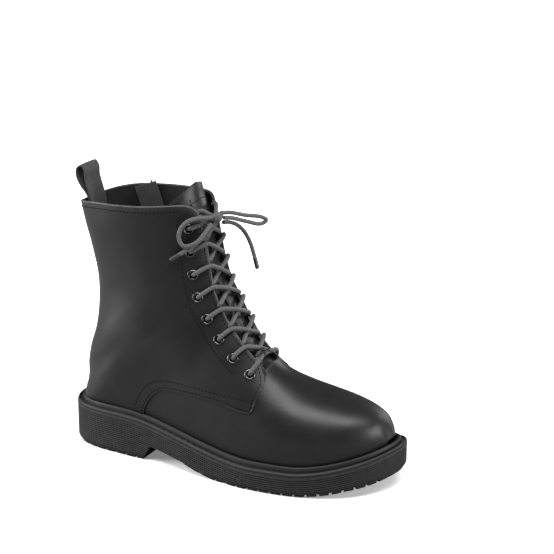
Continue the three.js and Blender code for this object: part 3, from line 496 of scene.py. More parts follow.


# The paler grey of each finish and its amount serve both for wear and for painted highlights along
# edges.
FINISHES = table("""
    name base worn smoothest roughest grains pores depth wear specular metallic
    black_leather 0.007 0.035 0.34 0.43 1500 0.5 0.00005 0.6 0.27 0
    cut_leather_edge 0.016 0.07 0.4 0.52 1200 0.6 0.00005 0.9 0.3 0
    black_lining 0.006 0.02 0.5 0.65 1400 1.0 0.00005 0.6 0.25 0
    black_rubber 0.007 0.03 0.5 0.6 900 0.3 0.00002 0.6 0.3 0
    black_thread 0.003 0.01 0.75 0.9 3000 1.0 0.00005 0.6 0.12 0
    welt_thread 0.03 0.06 0.6 0.75 3000 1.0 0.00005 0.6 0.3 0
    dark_metal 0.028 0.16 0.18 0.3 2200 0.2 0.00001 0.5 0.5 1
    zip_plastic 0.012 0.05 0.3 0.42 2000 0.3 0.00001 0.6 0.5 0
    aglet_plastic 0.02 0.06 0.3 0.4 900 0.2 0.00002 0.6 0.5 0
""")
finishes = [grained(**row) for row in FINISHES]
# The cut edge's finish is paler leather: partly the dyed cut edge, partly a painted highlight.
leather, lit_edge_leather, lining, rubber, thread = finishes[:5]
welt_thread, metal, zip_plastic, aglet_plastic = finishes[5:]


# %% Braided and woven finishes
def braided(name, base, across, along, depth, **sockets):
    """A finish of strands that cross, laid along the piece's own UV map, with painted shade between
    them.
    """
    material, tree, shader, where = new_material(name, **sockets)
    braid = place_group(tree, braid_group, [("Map", where.outputs["UV"]), ("Across", across),
                                            ("Along", along)])
    hairs = add_node(tree, "TexNoise", [("Vector", where.outputs["Object"]), ("Scale", 2600.0)])
    # Between the strands the colour drops to a third of the base: painted shade in the gaps.
    colour = add_node(tree, "Mix", data_type="RGBA")
    colour.inputs["A"].default_value = tuple(0.3 * value for value in base[:3]) + (1,)
    colour.inputs["B"].default_value = base
    tree.links.new(braid.outputs["Gap_shade"], colour.inputs["Factor"])
    tree.links.new(colour.outputs["Result"], shader.inputs["Base Color"])
    height = maths(tree, "MULTIPLY_ADD", hairs.outputs["Fac"], 0.25)
    tree.links.new(braid.outputs["Height"], height.node.inputs[2])
    bumped(tree, shader, height, depth)
    return material


lace_braid = braided("lace_braid", grey(0.052), 4.0, 2.0, 0.00025, Roughness=0.7, Sheen_Weight=0.12)
webbing = braided("ribbed_webbing", grey(0.016), 6.0, 9.0, 0.0003, Roughness=0.75, Sheen_Weight=0.1)
print("finishes", [material.name for material in bpy.data.materials])

# %% [markdown]
# ## The bow
# A round braided lace ends in a bow: a knot, two loops and two loose ends with hard
# tips. These are free cords, so their lines come before the rest. Each is a tube of
# even thickness along one smooth line, through the same points as in the solids.

# %% The bow's lines
LACE = 1.7
KNOT = (132.2, -5.6, 206.4)
LACE_LOOP_OUTER = table("""
    x y z
    131.6 -12 207.6
    130 -16 208.3
    124.7 -22.4 208.7
    119.4 -28 207
    114.4 -31.4 200.4
    113.9 -32.2 192.4
    117.3 -30.8 187.4
    125.3 -26.2 190
    129.9 -19.6 197
    132 -12.8 202.8
""")
LACE_END_OUTER = table("""
    x y z
    131.6 -10.6 198.8
    128.2 -15.4 194
    122.6 -24 187.4
    115.9 -30.6 182
    107.1 -34.3 175.8
""")
LACE_LOOP_INNER = table("""
    x y z
    132.6 0.8 208.2
    137 9 207
    143.6 21.6 202.4
    152.6 31.4 199.6
    156 34 196.8
    152.6 31 194
    145 21.4 197.4
    138.8 8.6 202.8
    135.4 1 204.6
""")
LACE_END_INNER = table("""
    x y z
    134.4 1.6 200.6
    135.6 9 198.8
    137.2 17.6 195
    139.8 25.4 188
    143.4 30 177
    148.8 32 155.7
""")


# %% The bow's cords
def bow_cord(name, rows):
    line = line_through(rows, 60)
    obj = done(tube(name, line, LACE), name, lace_braid, [name])
    path = metres(line)
    print(name, round(length_of(line), 1), "mm long")
    return line


def aglet(name, rows):
    """The hard tip: a smooth sleeve over the last few millimetres of a loose end."""
    steps, sleeve = 200, 9
    line = line_through(rows, steps)
    tip = line[int(steps * (1 - sleeve / length_of(line))):]
    beyond = tip[-1] + (tip[-1] - tip[-2]) / np.linalg.norm(tip[-1] - tip[-2]) * 0.4
    tip = smooth_line([*tip[::4], beyond], 24)
    shares = np.linspace(0, 1, 25)
    rounded = np.sqrt(np.clip(1 - np.clip((shares - 0.93) / 0.075, 0, 1) ** 2, 0.05, 1))
    start = np.clip(0.9 + shares * 4, 0, 1)
    obj = tube(name, tip, (LACE + 0.12) * rounded * start, 16)
    return done(obj, name, aglet_plastic)


aglet_outer = aglet("lace_tip_outer", LACE_END_OUTER)
aglet_inner = aglet("lace_tip_inner", LACE_END_INNER)
bow_cord("lace_loop_outer", LACE_LOOP_OUTER)
bow_cord("lace_loop_inner", LACE_LOOP_INNER)
bow_cord("lace_end_outer", LACE_END_OUTER)
bow_cord("lace_end_inner", LACE_END_INNER)

# %% [markdown]
# ## The plan of the sole
# Welt, outsole and upper all follow the outline of the sole seen from above. The
# outline is one smooth closed line, and each place on it knows which way is inwards.

# %% The sole's outline
SOLE_LENGTH, BALL_WIDTH, BOOT_HEIGHT = 288, 101, 220
LEDGE, WELT, GAP = 8, 3, 0.3
HEEL_LENGTH, HEEL_HEIGHT, FOREFOOT_HEIGHT = 77, 37.5, 20.5
SPRING_START, TOE_SPRING = SOLE_LENGTH * 0.74, 15
BEYOND, FAR_BEYOND = 20, 112
SOLE_PLAN = table("""
    along outside inside
    0.000 0.00 0.00
    0.014 0.17 0.17
    0.045 0.27 0.27
    0.100 0.33 0.33
    0.180 0.355 0.35
    0.270 0.37 0.34
    0.380 0.41 0.31
    0.500 0.455 0.34
    0.620 0.49 0.43
    0.730 0.465 0.51
    0.820 0.40 0.52
    0.895 0.30 0.47
    0.950 0.17 0.385
    0.987 0.01 0.27
    1.000 -0.13 0.13
""")


def outline_frame(steps):
    """Points round the outline, each with the direction that leads inwards."""
    outer = [(p["along"] * SOLE_LENGTH, -p["outside"] * BALL_WIDTH) for p in SOLE_PLAN]
    inner = [(p["along"] * SOLE_LENGTH, p["inside"] * BALL_WIDTH) for p in SOLE_PLAN[1:-1]]
    line = smooth_line(outer + inner[::-1], steps, closed=True)[:-1]
    way = np.roll(line, -1, axis=0) - np.roll(line, 1, axis=0)
    way /= np.linalg.norm(way, axis=1)[:, None]
    return line, np.stack([-way[:, 1], way[:, 0]], axis=1)


def spring_at(x):
    """How far the toe curls up off the floor."""
    share = max(0.0, (x - SPRING_START) / (SOLE_LENGTH - SPRING_START))
    return TOE_SPRING * share ** 1.6


def ledge_at(x):
    """Height of the ledge that the upper stands on."""
    fall = smooth(HEEL_LENGTH * 0.68, SOLE_LENGTH * 0.635, x)
    return mix(HEEL_HEIGHT, FOREFOOT_HEIGHT, fall) + 1.25 * spring_at(x)


def sole_top_at(x):
    return ledge_at(x) - WELT - GAP


def ring_inside(frame_points, margin, height):
    """A ring inside the outline. margin and height are numbers or follow x."""
    ring = []
    for (x, y), (in_x, in_y) in zip(*frame_points):
        m = margin(x) if callable(margin) else margin
        z = height(x + in_x * m) if callable(height) else height
        ring.append((x + in_x * m, y + in_y * m, z))
    return ring


print("outline", round(length_of(outline_frame(200)[0]), 1), "mm round")

# %% [markdown]
# ## The last
# A shoemaker builds the upper over a last, a solid foot shape. This one is a row of
# sections from the toe to above the collar. Every piece of the upper asks it for a
# place on its surface: by the side view, or by the distance round the instep.

# %% The last's sections
LAST = table("""
    front_x front_z back_x back_z swell half wide front_power back_power
    0.965 0.188 0.965 - 1.00 - 0.70 2.20 2.6
    0.962 0.210 0.962 - 1.00 - 0.70 2.20 2.6
    0.957 0.233 0.957 - 1.00 - 0.70 2.20 2.6
    0.948 0.255 0.948 - 1.01 - 0.70 2.20 2.6
    0.933 0.275 0.933 - 1.02 - 0.70 2.20 2.6
    0.909 0.292 0.909 - 1.02 - 0.70 2.20 2.6
    0.875 0.308 0.875 - 1.03 - 0.70 2.20 2.6
    0.831 0.325 0.831 - 1.03 - 0.70 2.15 2.6
    0.776 0.344 0.774 - 1.03 - 0.70 2.10 2.6
    0.716 0.369 0.711 - 1.03 - 0.70 2.00 2.6
    0.665 0.402 0.641 - 1.04 - 0.70 1.95 2.6
    0.630 0.443 0.560 - 1.06 - 0.68 1.90 2.5
    0.600 0.490 0.470 - 1.12 - 0.65 1.90 2.4
    0.570 0.546 0.369 - 1.20 - 0.60 1.90 2.3
    0.538 0.604 0.264 - 1.26 - 0.55 1.90 2.2
    0.511 0.660 0.158 - 1.32 - 0.51 1.95 2.1
    0.492 0.700 0.078 - - 0.362 0.49 2.00 2.1
    0.483 0.727 0.036 - - 0.361 0.49 2.00 2.1
    0.475 0.755 0.036 0.240 - 0.360 0.48 2.00 2.1
    0.466 0.790 0.038 0.305 - 0.356 0.48 2.00 2.1
    0.460 0.825 0.048 0.370 - 0.350 0.48 2.00 2.1
    0.454 0.860 0.068 0.450 - 0.344 0.48 2.00 2.1
    0.449 0.890 0.080 0.550 - 0.340 0.48 2.00 2.1
    0.445 0.920 0.080 0.658 - 0.342 0.49 2.00 2.1
    0.442 0.950 0.064 0.765 - 0.350 0.50 2.00 2.1
    0.436 0.985 0.041 0.880 - 0.360 0.50 2.00 2.1
    0.432 1.120 0.012 1.060 - 0.368 0.50 2.00 2.1
""")
Section = namedtuple(
    "Section", "front_x front_z back_x back_z centre half foot wide front_power back_power"
)
FEATHER = np.array(ring_inside(outline_frame(160), LEDGE, 0))


def width_at(ring, x):
    found = []
    for a, b in zip(ring, np.roll(ring, -1, axis=0)):
        if (a[0] - x) * (b[0] - x) <= 0 and a[0] != b[0]:
            found.append(a[1] + (x - a[0]) / (b[0] - a[0]) * (b[1] - a[1]))
    return min(found), max(found)


def section_of(row):
    back_x = row["back_x"] * SOLE_LENGTH
    standing = row["back_z"] is None
    inset = LEDGE + 0.6
    low, high = width_at(FEATHER, min(max(back_x, inset), SOLE_LENGTH - inset))
    foot = (high - low) / 2
    half = foot * row["swell"] if row["half"] is None else row["half"] * BALL_WIDTH
    return [
        row["front_x"] * SOLE_LENGTH,
        row["front_z"] * BOOT_HEIGHT,
        back_x,
        ledge_at(back_x) if standing else row["back_z"] * BOOT_HEIGHT,
        (low + high) / 2 if standing else 0,
        half,
        foot / half if standing else 0.05,
        row["wide"],
        row["front_power"],
        row["back_power"],
    ]


SECTIONS = np.array([section_of(row) for row in LAST])


@lru_cache(maxsize=None)
def station(u):
    """The section between toe, u = 0, and collar, u = 1."""
    place = u * (len(SECTIONS) - 1)
    i = min(len(SECTIONS) - 2, int(place))
    t = place - i
    a, b, c, d = (SECTIONS[min(len(SECTIONS) - 1, max(0, k))] for k in (i - 1, i, i + 1, i + 2))
    ends = (2 * t ** 3 - 3 * t ** 2 + 1) * b + (3 * t ** 2 - 2 * t ** 3) * c
    slopes = (t ** 3 - 2 * t ** 2 + t) * (c - a) / 2 + (t ** 3 - t ** 2) * (d - b) / 2
    return Section(*(ends + slopes).tolist())


# %% Places on the last
TOE_PLANE = SECTIONS[0][0]
TOE_EDGE = np.array(sorted((y, x) for x, y, _ in FEATHER if x > TOE_PLANE))


def toe_round(x, y, low):
    """How far the toe's flat front is pushed out to the feather edge, low down only."""
    reach = float(np.interp(y, TOE_EDGE[:, 0], TOE_EDGE[:, 1], left=TOE_PLANE, right=TOE_PLANE))
    soft = (reach - TOE_PLANE) ** 2 / 2.2
    return soft * smooth(TOE_PLANE - 20, TOE_PLANE, x) * (1 - smooth(41, 60, low))


def section_point(s, side, angle):
    """side is -1 outside or 1 inside, angle runs from 0 in front to pi behind."""
    c, out = abs(cos(angle)), abs(sin(angle))
    ahead = angle <= pi / 2
    power = 2 / (s.front_power if ahead else s.back_power)
    depth = s.wide * (1 - c ** power) if ahead else s.wide + (1 - s.wide) * c ** power
    across = out ** power if ahead else s.foot + (1 - s.foot) * out ** power
    x, y = mix(s.front_x, s.back_x, depth), s.centre + side * s.half * across
    if x > TOE_PLANE - 18:
        x += toe_round(x, y, s.front_z)
    return np.array([x, y, mix(s.front_z, s.back_z, depth)])


def sunk(u, side, angle, depth):
    """The place on the surface, sunk inwards by depth, and which way is out there."""
    small = 1e-3

    def at(du, da):
        turn = angle + da
        over = -side if turn < 0 else side
        return section_point(station(min(1.0, max(0.0, u + du))), over, min(abs(turn), pi))

    along = at(small, 0) - at(-small, 0)
    around = (at(0, small) - at(0, -small)) * -side
    out = np.cross(along, around)
    out /= np.linalg.norm(out)
    return section_point(station(u), side, angle) - out * depth, out


@lru_cache(maxsize=None)
def half_ring(u, side):
    angles = np.linspace(0, pi, 61)
    points = np.array([section_point(station(u), side, a) for a in angles])
    return angles, run_of(points)


def on_instep(u, round_way, depth):
    """The same by the distance round from the front, positive towards the inside."""
    side = -1 if round_way < 0 else 1
    angles, run = half_ring(round(u, 6), side)
    return sunk(u, side, float(np.interp(abs(round_way), run, angles)), depth)


def side_place(x, z):
    """Station and angle of a place given by its x and z in the side view."""
    low, high = 0.0, 1.0
    for _ in range(24):
        middle = (low + high) / 2
        s = station(middle)
        above = (s.front_x - s.back_x) * (z - s.back_z) - (s.front_z - s.back_z) * (x - s.back_x)
        low, high = (middle, high) if above > 0 else (low, middle)
    s = station((low + high) / 2)
    share = hypot(x - s.front_x, z - s.front_z) / hypot(s.back_x - s.front_x, s.back_z - s.front_z)
    ahead = share < s.wide
    power = (s.front_power if ahead else s.back_power) / 2
    c = abs(1 - share / s.wide if ahead else (share - s.wide) / (1 - s.wide)) ** power
    angle = acos(min(1.0, c))
    return (low + high) / 2, (angle if ahead else pi - angle)


def on_side(side, x, z, depth):
    u, angle = side_place(x, z)
    return sunk(u, side, angle, depth)


def instep_at(along):
    low, high = 0.0, 0.95
    for _ in range(30):
        middle = (low + high) / 2
        ahead = station(middle).front_x > along * SOLE_LENGTH
        low, high = (middle, high) if ahead else (low, middle)
    return (low + high) / 2


# %% The last as a fine body
LAST_ROWS, LAST_STEPS = 170, 62


def last_rings(depth, drop):
    """Rings of the last sunk by depth, with its feather edge lowered by drop."""
    us = np.linspace(0, 1, LAST_ROWS + 1)
    angles = np.linspace(0, pi, LAST_STEPS + 1)
    grid = []
    for u in us:
        s = station(float(u))
        outside = [section_point(s, -1, a) for a in angles]
        inside = [section_point(s, 1, a) for a in angles[:0:-1]]
        grid.append(outside + inside)
    grid = np.array(grid)
    along = np.empty_like(grid)
    along[1:-1] = grid[2:] - grid[:-2]
    along[0], along[-1] = grid[1] - grid[0], grid[-1] - grid[-2]
    before, after = np.roll(grid, 1, axis=1), np.roll(grid, -1, axis=1)
    outer_edge, inner_edge = LAST_STEPS, LAST_STEPS + 1
    after[:, outer_edge] = grid[:, outer_edge]
    before[:, inner_edge] = grid[:, inner_edge]
    out = np.cross(along, after - before)
    out /= np.linalg.norm(out, axis=2)[:, :, None]
    moved = grid - out * depth
    moved[0, :, 0] -= depth
    standing = np.array([station(float(u)).foot > 0.1 for u in us])
    for edge in (outer_edge, inner_edge):
        moved[standing, edge, 2] -= drop
    return moved


def last_body(depth, drop):
    return body("last", last_rings(depth, drop))


print("stations", len(SECTIONS), "instep at", round(instep_at(0.638), 4))

# %% [markdown]
# ## The lines of the upper
# The collar, the flaps' edges, the quarters' edge and the zip are lines on the last.
# They cut the upper, and the stitch rows and the rolled edges run along them.

# %% Lines of the upper
WALL, VAMP_STEP = 2.8, 1.2
CORNER_RADIUS, THROAT_HALF = 11, 20
SIDES = ((-1, "outer"), (1, "inner"))
ZIP_SIDES = ((-1, "back"), (1, "front"))
ZIP_HALF, ZIP_STEPS = 4.5, 240
COLLAR = table("""
    along up
    -0.05 0.925
    0.035 0.935
    0.080 0.953
    0.130 0.965
    0.205 0.972
    0.290 0.979
    0.350 0.985
    0.385 0.987
""")
QUARTER_EDGE = table("""
    along up
    0.606 1.20
    0.611 0.50
    0.618 0.44
    0.624 0.423
    0.635 0.399
    0.640 0.379
    0.632 0.341
    0.621 0.284
    0.478 0.304
""")
OUTSIDE_ARCH = table("""
    along up
    0.353 0.302
    0.331 0.296
    0.305 0.268
    0.283 0.230
    0.265 0.179
    0.258 0.05
""")
INSIDE_ARCH = table("""
    along up
    0.375 0.302
    0.372 0.25
    0.385 0.19
    0.400 0.05
""")
THROAT = table("""
    station half eyelet
    0.41 0.75 1.26
    0.46 0.77 1.40
    0.50 0.88 1.57
    0.54 1.00 1.70
    0.58 1.00 1.72
    0.65 0.88 1.65
    0.74 0.72 1.54
    0.82 0.68 1.46
    0.90 0.70 1.32
    1.00 0.70 1.32
""")
ZIP_LINE = table("""
    along up
    0.153 0.985
    0.205 0.79
    0.262 0.52
    0.322 0.262
""")


def side_shape(rows):
    return [(row["along"] * SOLE_LENGTH, row["up"] * BOOT_HEIGHT) for row in rows]


def throat(column, u):
    """A column of the throat's table at a station, in millimetres round the instep."""
    stations = [row["station"] for row in THROAT]
    return float(np.interp(u, stations, [row[column] for row in THROAT])) * THROAT_HALF


def collar_line():
    """The collar's edge in the side view, with the turn down round the flap's corner."""
    edge = side_shape(COLLAR)
    last_x, last_z = edge[-1]
    for t in spread(12)[1:]:
        turn = t * pi / 2
        edge.append((last_x + CORNER_RADIUS * sin(turn), last_z - CORNER_RADIUS * (1 - cos(turn))))
    return edge


THROAT_END = instep_at(0.638)
ZIP = smooth_line([(x, 0, z) for x, z in side_shape(ZIP_LINE)], ZIP_STEPS)
ZIP_WAY = ways_of(ZIP)


def zip_point(t, across):
    """x and z at a share of the zip's length, to one side of its line."""
    k, steps = t * ZIP_STEPS, range(ZIP_STEPS + 1)
    at = np.array([np.interp(k, steps, ZIP[:, c]) for c in (0, 2)])
    way = np.array([np.interp(k, steps, ZIP_WAY[:, c]) for c in (0, 2)])
    return at[0] - way[1] * across, at[1] + way[0] * across


def on_zip(t, across, depth):
    return on_side(1, *zip_point(t, across), depth)


# %% Where the eyelets are
EYELETS, EYELET_PITCH = 8, 18.4
FIRST_EYELET, BARREL = 0.904, 3


def eyelet_stations():
    found, last_place = [], None
    for u in np.arange(0.99, 0.2, -1 / 1500):
        at = on_instep(float(u), -throat("eyelet", u), 0)[0]
        if last_place is None:
            due = at[2] <= FIRST_EYELET * BOOT_HEIGHT
        else:
            due = np.linalg.norm(at - last_place) >= EYELET_PITCH
        if due:
            found.append(float(u))
            last_place = at
        if len(found) == EYELETS:
            return found


EYELET_AT = eyelet_stations()
print("eyelet stations", [round(u, 3) for u in EYELET_AT])

# %% [markdown]
# ## The upper
# The real upper is cut leather: a vamp over the toes, and quarters that lap over it
# and lace up the shaft. It is made here as the maker would close it: two fine bodies
# from the last, one for each level, joined, hollowed by a third, and then opened at
# collar, throat, zip, eyelets and underneath. Booleans give the step where the
# quarters lap over the vamp as a true edge, which moved points alone would blur.

# %% Hollow and levels
def quarter_space(arch, low, high):
    edge = side_shape(QUARTER_EDGE + arch)
    back = -0.1 * SOLE_LENGTH
    fine = [tuple(p) for p in smooth_corners(edge)]
    return side_block("quarter space", [*fine, (back, edge[-1][1]), (back, edge[0][1])], low, high)


def smooth_corners(points):
    """The same line with its blunt corners turned as short curves."""
    line = [np.array(p, float) for p in points]
    result = [line[0]]
    for a, b, c in zip(line, line[1:], line[2:]):
        into, away = b - a, c - b
        turn = np.dot(into, away) / np.linalg.norm(into) / np.linalg.norm(away)
        if turn < 0.2:
            result.append(b)
            continue
        reach = 0.45 * min(np.linalg.norm(into), np.linalg.norm(away))
        start = b - into / np.linalg.norm(into) * reach
        end = b + away / np.linalg.norm(away) * reach
        for t in spread(10):
            result.append((1 - t) ** 2 * start + 2 * t * (1 - t) * b + t ** 2 * end)
    result.append(line[-1])
    return result


def layer(low_of, high_of):
    """A body between two heights that follow x, for taking off what lies beyond."""
    xs = [mix(-BEYOND, SOLE_LENGTH + BEYOND, t) for t in spread(60)]
    low = [(x, low_of(x)) for x in xs]
    high = [(x, high_of(x)) for x in xs[::-1]]
    return side_block("layer", low + high, -BALL_WIDTH, BALL_WIDTH)


def collar_cutter():
    edge = collar_line()
    high, end_z = 1.4 * BOOT_HEIGHT, edge[-1][1]
    outline = [*edge, (SOLE_LENGTH, end_z), (SOLE_LENGTH, high), (edge[0][0], high)]
    return side_block("collar cutter", outline, -BALL_WIDTH, BALL_WIDTH)


def throat_cutter():
    stations = [THROAT_END, THROAT_END + 0.003, THROAT_END + 0.006]
    stations += [mix(THROAT_END + 0.012, 1, t) for t in spread(40)]
    shares = [0.82, 0.91, 0.95]
    outer, inner = [], []
    for k, u in enumerate(stations):
        half = throat("half", u) * (shares[k] if k < 3 else 1)
        rounds = [mix(-half, half, t) for t in spread(10)]
        outer.append([on_instep(u, r, -12)[0] for r in rounds])
        inner.append([on_instep(u, r, WALL + 2)[0] for r in rounds])
    return sheet_body("throat cutter", outer, inner)


def zip_cutter():
    ahead = [zip_point(t, ZIP_HALF) for t in spread(24)]
    behind = [zip_point(t, -ZIP_HALF) for t in spread(24)][::-1]
    high = 1.2 * BOOT_HEIGHT
    outline = [(ahead[0][0], high), *ahead, *behind, (behind[-1][0], high)]
    return side_block("zip cutter", outline, 0, BALL_WIDTH)


def eyelet_cutter():
    holes = []
    for u in EYELET_AT:
        for side in (-1, 1):
            at, out = on_instep(u, side * throat("eyelet", u), 0)
            line = [at - out * 8, at, at + out * 8]
            holes.append(tube("hole", line, BARREL + GAP, 20))
    return joined(holes, "eyelet cutter")


# %% Closing the upper
quarters = quarter_space(OUTSIDE_ARCH, -BALL_WIDTH, 0)
cut(quarters, quarter_space(INSIDE_ARCH, 0, BALL_WIDTH), "UNION")
upper = cut(last_body(0, 4), quarters, "INTERSECT")
cut(upper, last_body(VAMP_STEP, 4), "UNION")
hollow = last_body(WALL, 8)
cut(upper, hollow, keep_tool=True)
fine_outline = outline_frame(160)
margin = LEDGE + WALL
open_under = body("open under", [
    ring_inside(fine_outline, margin, -37),
    ring_inside(fine_outline, margin, lambda x: ledge_at(x) + WALL),
])
for tool in (open_under, collar_cutter(), throat_cutter(), zip_cutter(), eyelet_cutter()):
    cut(upper, tool)
cut(upper, layer(lambda x: ledge_at(x) + GAP, lambda x: 2 * BOOT_HEIGHT), "INTERSECT")
print("upper", len(upper.data.polygons), "faces")

# %% [markdown]
# The outer face is leather, the inner face is lining, and what the knife cut shows the
# leather's paler edge, partly the dyed edge and partly a painted highlight. Each face is
# told apart by how far it lies from the hollow. A soft value, called edge, is kept on the
# points; it makes the colour paler along every cut, partly for wear and partly as a
# painted highlight.


# %% Faces of leather, lining and edge
def paint_upper(obj, inner):
    tree = BVHTree.FromPolygons(
        [v.co for v in inner.data.vertices], [p.vertices[:] for p in inner.data.polygons]
    )
    obj.data.materials.clear()
    for finish in (leather, lining, lit_edge_leather):
        obj.data.materials.append(finish)
    for face in obj.data.polygons:
        face.material_index = 0
        _, normal, _, far = tree.find_nearest(face.center)
        if far < 0.0001 and abs(face.normal.dot(normal)) > 0.8:
            face.material_index = 1
        elif far < (WALL - 0.1) / 1000 and abs(face.normal.dot(normal)) < 0.45:
            face.material_index = 2


def keep_edge(obj, values):
    """Keeps on every point of a piece the value that makes its colour paler, for rubbing and for painted
    highlight.
    """
    edge = obj.data.attributes.new("edge", "FLOAT", "POINT")
    edge.data.foreach_set("value", values)


def mark_edge(obj, lines, reach):
    """Keeps a value on the points that is 1 at the lines and fades out at reach mm."""
    points = np.concatenate([metres(line) for line in lines])
    tree = KDTree(len(points))
    for k, point in enumerate(points):
        tree.insert(point, k)
    tree.balance()
    away = [tree.find(v.co)[2] * 1000 for v in obj.data.vertices]
    keep_edge(obj, [max(0.0, 1 - distance / reach) ** 2 for distance in away])


def flap_line(side, depth, top, bottom):
    """The flap's edge as points on the surface, from the top down."""
    stations = [float(u) for u in np.linspace(top, bottom, 90)]
    return np.array([on_instep(u, side * throat("half", u), depth)[0] for u in stations])


def inside_throat(side, x, z):
    """How far a place lies behind the flap's edge, round the instep."""
    u, angle = side_place(x, z)
    angles, run = half_ring(round(u, 6), side)
    return float(np.interp(angle, angles, run)) - throat("half", u)


def collar_edge(side, depth):
    """The collar's edge round one side as far as the flap, as points on the surface."""
    back_x = station(0.975).back_x
    flat = smooth_line(collar_line()[1:], 400)
    flat = [p for p in flat if p[0] > back_x + 0.4 and inside_throat(side, *p) > 0]
    return np.array([on_side(side, x, z, depth)[0] for x, z in flat[::2]])


def flap_top(side):
    """Station at which the flap's edge meets the collar's corner."""
    line = collar_line()
    best = min(
        (abs(inside_throat(side, x, z)), side_place(x, z)[0])
        for x, z in smooth_line(line[5:], 160)
    )
    return best[1]


FLAP_TOP = {side: flap_top(side) for side in (-1, 1)}
EDGE_DEPTH = 0.72


def rim_line(side):
    """Collar and flap edge of one side as one line, from the back to the throat's end."""
    collar = collar_edge(side, EDGE_DEPTH)
    flap = flap_line(side, EDGE_DEPTH, FLAP_TOP[side], THROAT_END + 0.008)
    return smooth_line([*collar[::3], *flap[2::3]], 260)


rims = {side: rim_line(side) for side in (-1, 1)}
end_half = throat("half", THROAT_END) * 0.82
throat_foot = np.array([
    on_instep(THROAT_END, mix(-end_half, end_half, t), VAMP_STEP + 0.8)[0] for t in spread(24)
])
zip_edges = {
    across: np.array([on_zip(t, across, EDGE_DEPTH)[0] for t in np.linspace(0.012, 1, 90)])
    for across in (-ZIP_HALF, ZIP_HALF)
}
QUARTER_SIDE = {
    -1: side_shape(QUARTER_EDGE[1:] + OUTSIDE_ARCH),
    1: side_shape(QUARTER_EDGE[1:] + INSIDE_ARCH),
}


def quarter_line(side, depth, steps):
    """The quarters' edge over the vamp, as points on the surface."""
    flat = [p for p in smooth_corners(QUARTER_SIDE[side]) if p[1] > ledge_at(p[0]) + 1.5]
    return np.array([on_side(side, x, z, depth)[0] for x, z in smooth_line(flat, steps)])


def offset_inside(points, inward, steps):
    """A line of the side view moved sideways, without what a corner would fold over."""
    line = smooth_line(points, 300)
    way = ways_of(line)
    moved = line + np.stack([way[:, 1], -way[:, 0]], axis=1) * inward
    kept = [p for p in moved if np.min(np.linalg.norm(line - p, axis=1)) > inward * 0.97]
    return smooth_line([p for p in kept if p[1] > ledge_at(p[0]) + 1.2], steps)


quarter_edges = {side: quarter_line(side, 0.6, 220) for side in (-1, 1)}
all_edges = [*rims.values(), throat_foot, *zip_edges.values()]
paint_upper(upper, hollow)
bpy.data.objects.remove(hollow)
# The upper's colour is made paler near its cut edges: partly wear, partly a painted highlight.
mark_edge(upper, all_edges, 3)
done(upper, "upper", None, ["upper"], angle=38)

# %% [markdown]
# ## Rolled edges
# Cut leather is never sharp: its edge is rounded and dyed, and it catches the light as a
# thin pale line. A thin bead runs along each edge of the upper, half sunk in it. Its
# colour is made paler, partly for the dyed edge and partly as a painted highlight.


# %% Beads along the edges
def bead(name, line, radius, material, paleness=0.8):
    obj = tube(name, line, radius, 10)
    # paleness turns the bead's colour paler: partly the dyed edge, partly a painted highlight.
    keep_edge(obj, [paleness] * len(obj.data.vertices))
    return done(obj, name, material)


for side, word in SIDES:
    bead(f"rim_{word}", rims[side], EDGE_DEPTH + 0.06, lit_edge_leather)
    bead(f"quarter_edge_{word}", quarter_edges[side], 0.6, leather, 0.25)
bead("throat_foot_edge", throat_foot, 0.95, leather)
for side, word in ZIP_SIDES:
    bead(f"zip_edge_{word}", zip_edges[side * ZIP_HALF], EDGE_DEPTH + 0.06, lit_edge_leather)

# %% [markdown]
# ## Stitch rows
# Thick thread runs in rows of short stitches, each pulled a little into the leather.
# One stitch is modelled once and copied along every row. There are hundreds of them,
# so one stitch has only a few dozen faces.


# %% One stitch and its rows
nothing_selected()
bpy.ops.mesh.primitive_uv_sphere_add(segments=6, ring_count=5, radius=0.5)
one_stitch = bpy.context.object
STITCH = np.array([v.co[:] for v in one_stitch.data.vertices])
STITCH_FACES = [face.vertices[:] for face in one_stitch.data.polygons]
bpy.data.objects.remove(one_stitch)


def found_at(at, run, values):
    """The values of a line's points, looked up at a distance along it."""
    return np.array([np.interp(at, run, values[:, c]) for c in range(3)])


def stitch_row(name, line, outs, pitch=3.2, long=2.5, wide=0.85, lift=0.08, material=thread,
               slot="upper", lean=0.0):
    """Copies of the stitch along a line, standing on the surface whose way out is outs."""
    count = max(2, int(length_of(line) / pitch))
    run, near = run_of(line), 0.6
    points, faces = [], []
    for k in range(count):
        at = run[-1] * (k + 0.5) / count
        spot = found_at(at, run, line)
        ahead = found_at(min(run[-1], at + near), run, line)
        behind = found_at(max(0, at - near), run, line)
        out = found_at(at, run, outs)
        way = (ahead - behind) / np.linalg.norm(ahead - behind)
        out = out - way * np.dot(out, way)
        out /= np.linalg.norm(out)
        across = np.cross(out, way)
        way = way * cos(lean) + across * sin(lean)
        across = np.cross(out, way)
        copy = STITCH[:, :1] * across * wide + STITCH[:, 1:2] * out * wide + STITCH[:, 2:] * way * long
        first = len(points)
        points.extend(metres(copy + spot + out * lift))
        faces.extend([tuple(first + i for i in face) for face in STITCH_FACES])
    mesh = bpy.data.meshes.new(name)
    mesh.from_pydata([tuple(p) for p in points], [], faces)
    obj = bpy.data.objects.new(name, mesh)
    bpy.context.collection.objects.link(obj)
    return done(obj, name, material, angle=60)


def row_through(name, found, **settings):
    """A stitch row through places, each given with its way out."""
    places = np.array([place for place, _ in found])
    outs = np.array([out for _, out in found])
    return stitch_row(name, places, outs, **settings)


def row_along(name, place, count, **settings):
    """A stitch row through count places that follow from a share between 0 and 1."""
    return row_through(name, [place(float(t)) for t in np.linspace(0, 1, count)], **settings)


def zip_row(name, across, depth, count, foot, **settings):
    """A row down the zip, across mm beside its line, as far down as the share foot."""

    def place(t):
        return on_zip(mix(0.03, foot, t), across, depth)

    return row_along(name, place, count, **settings)


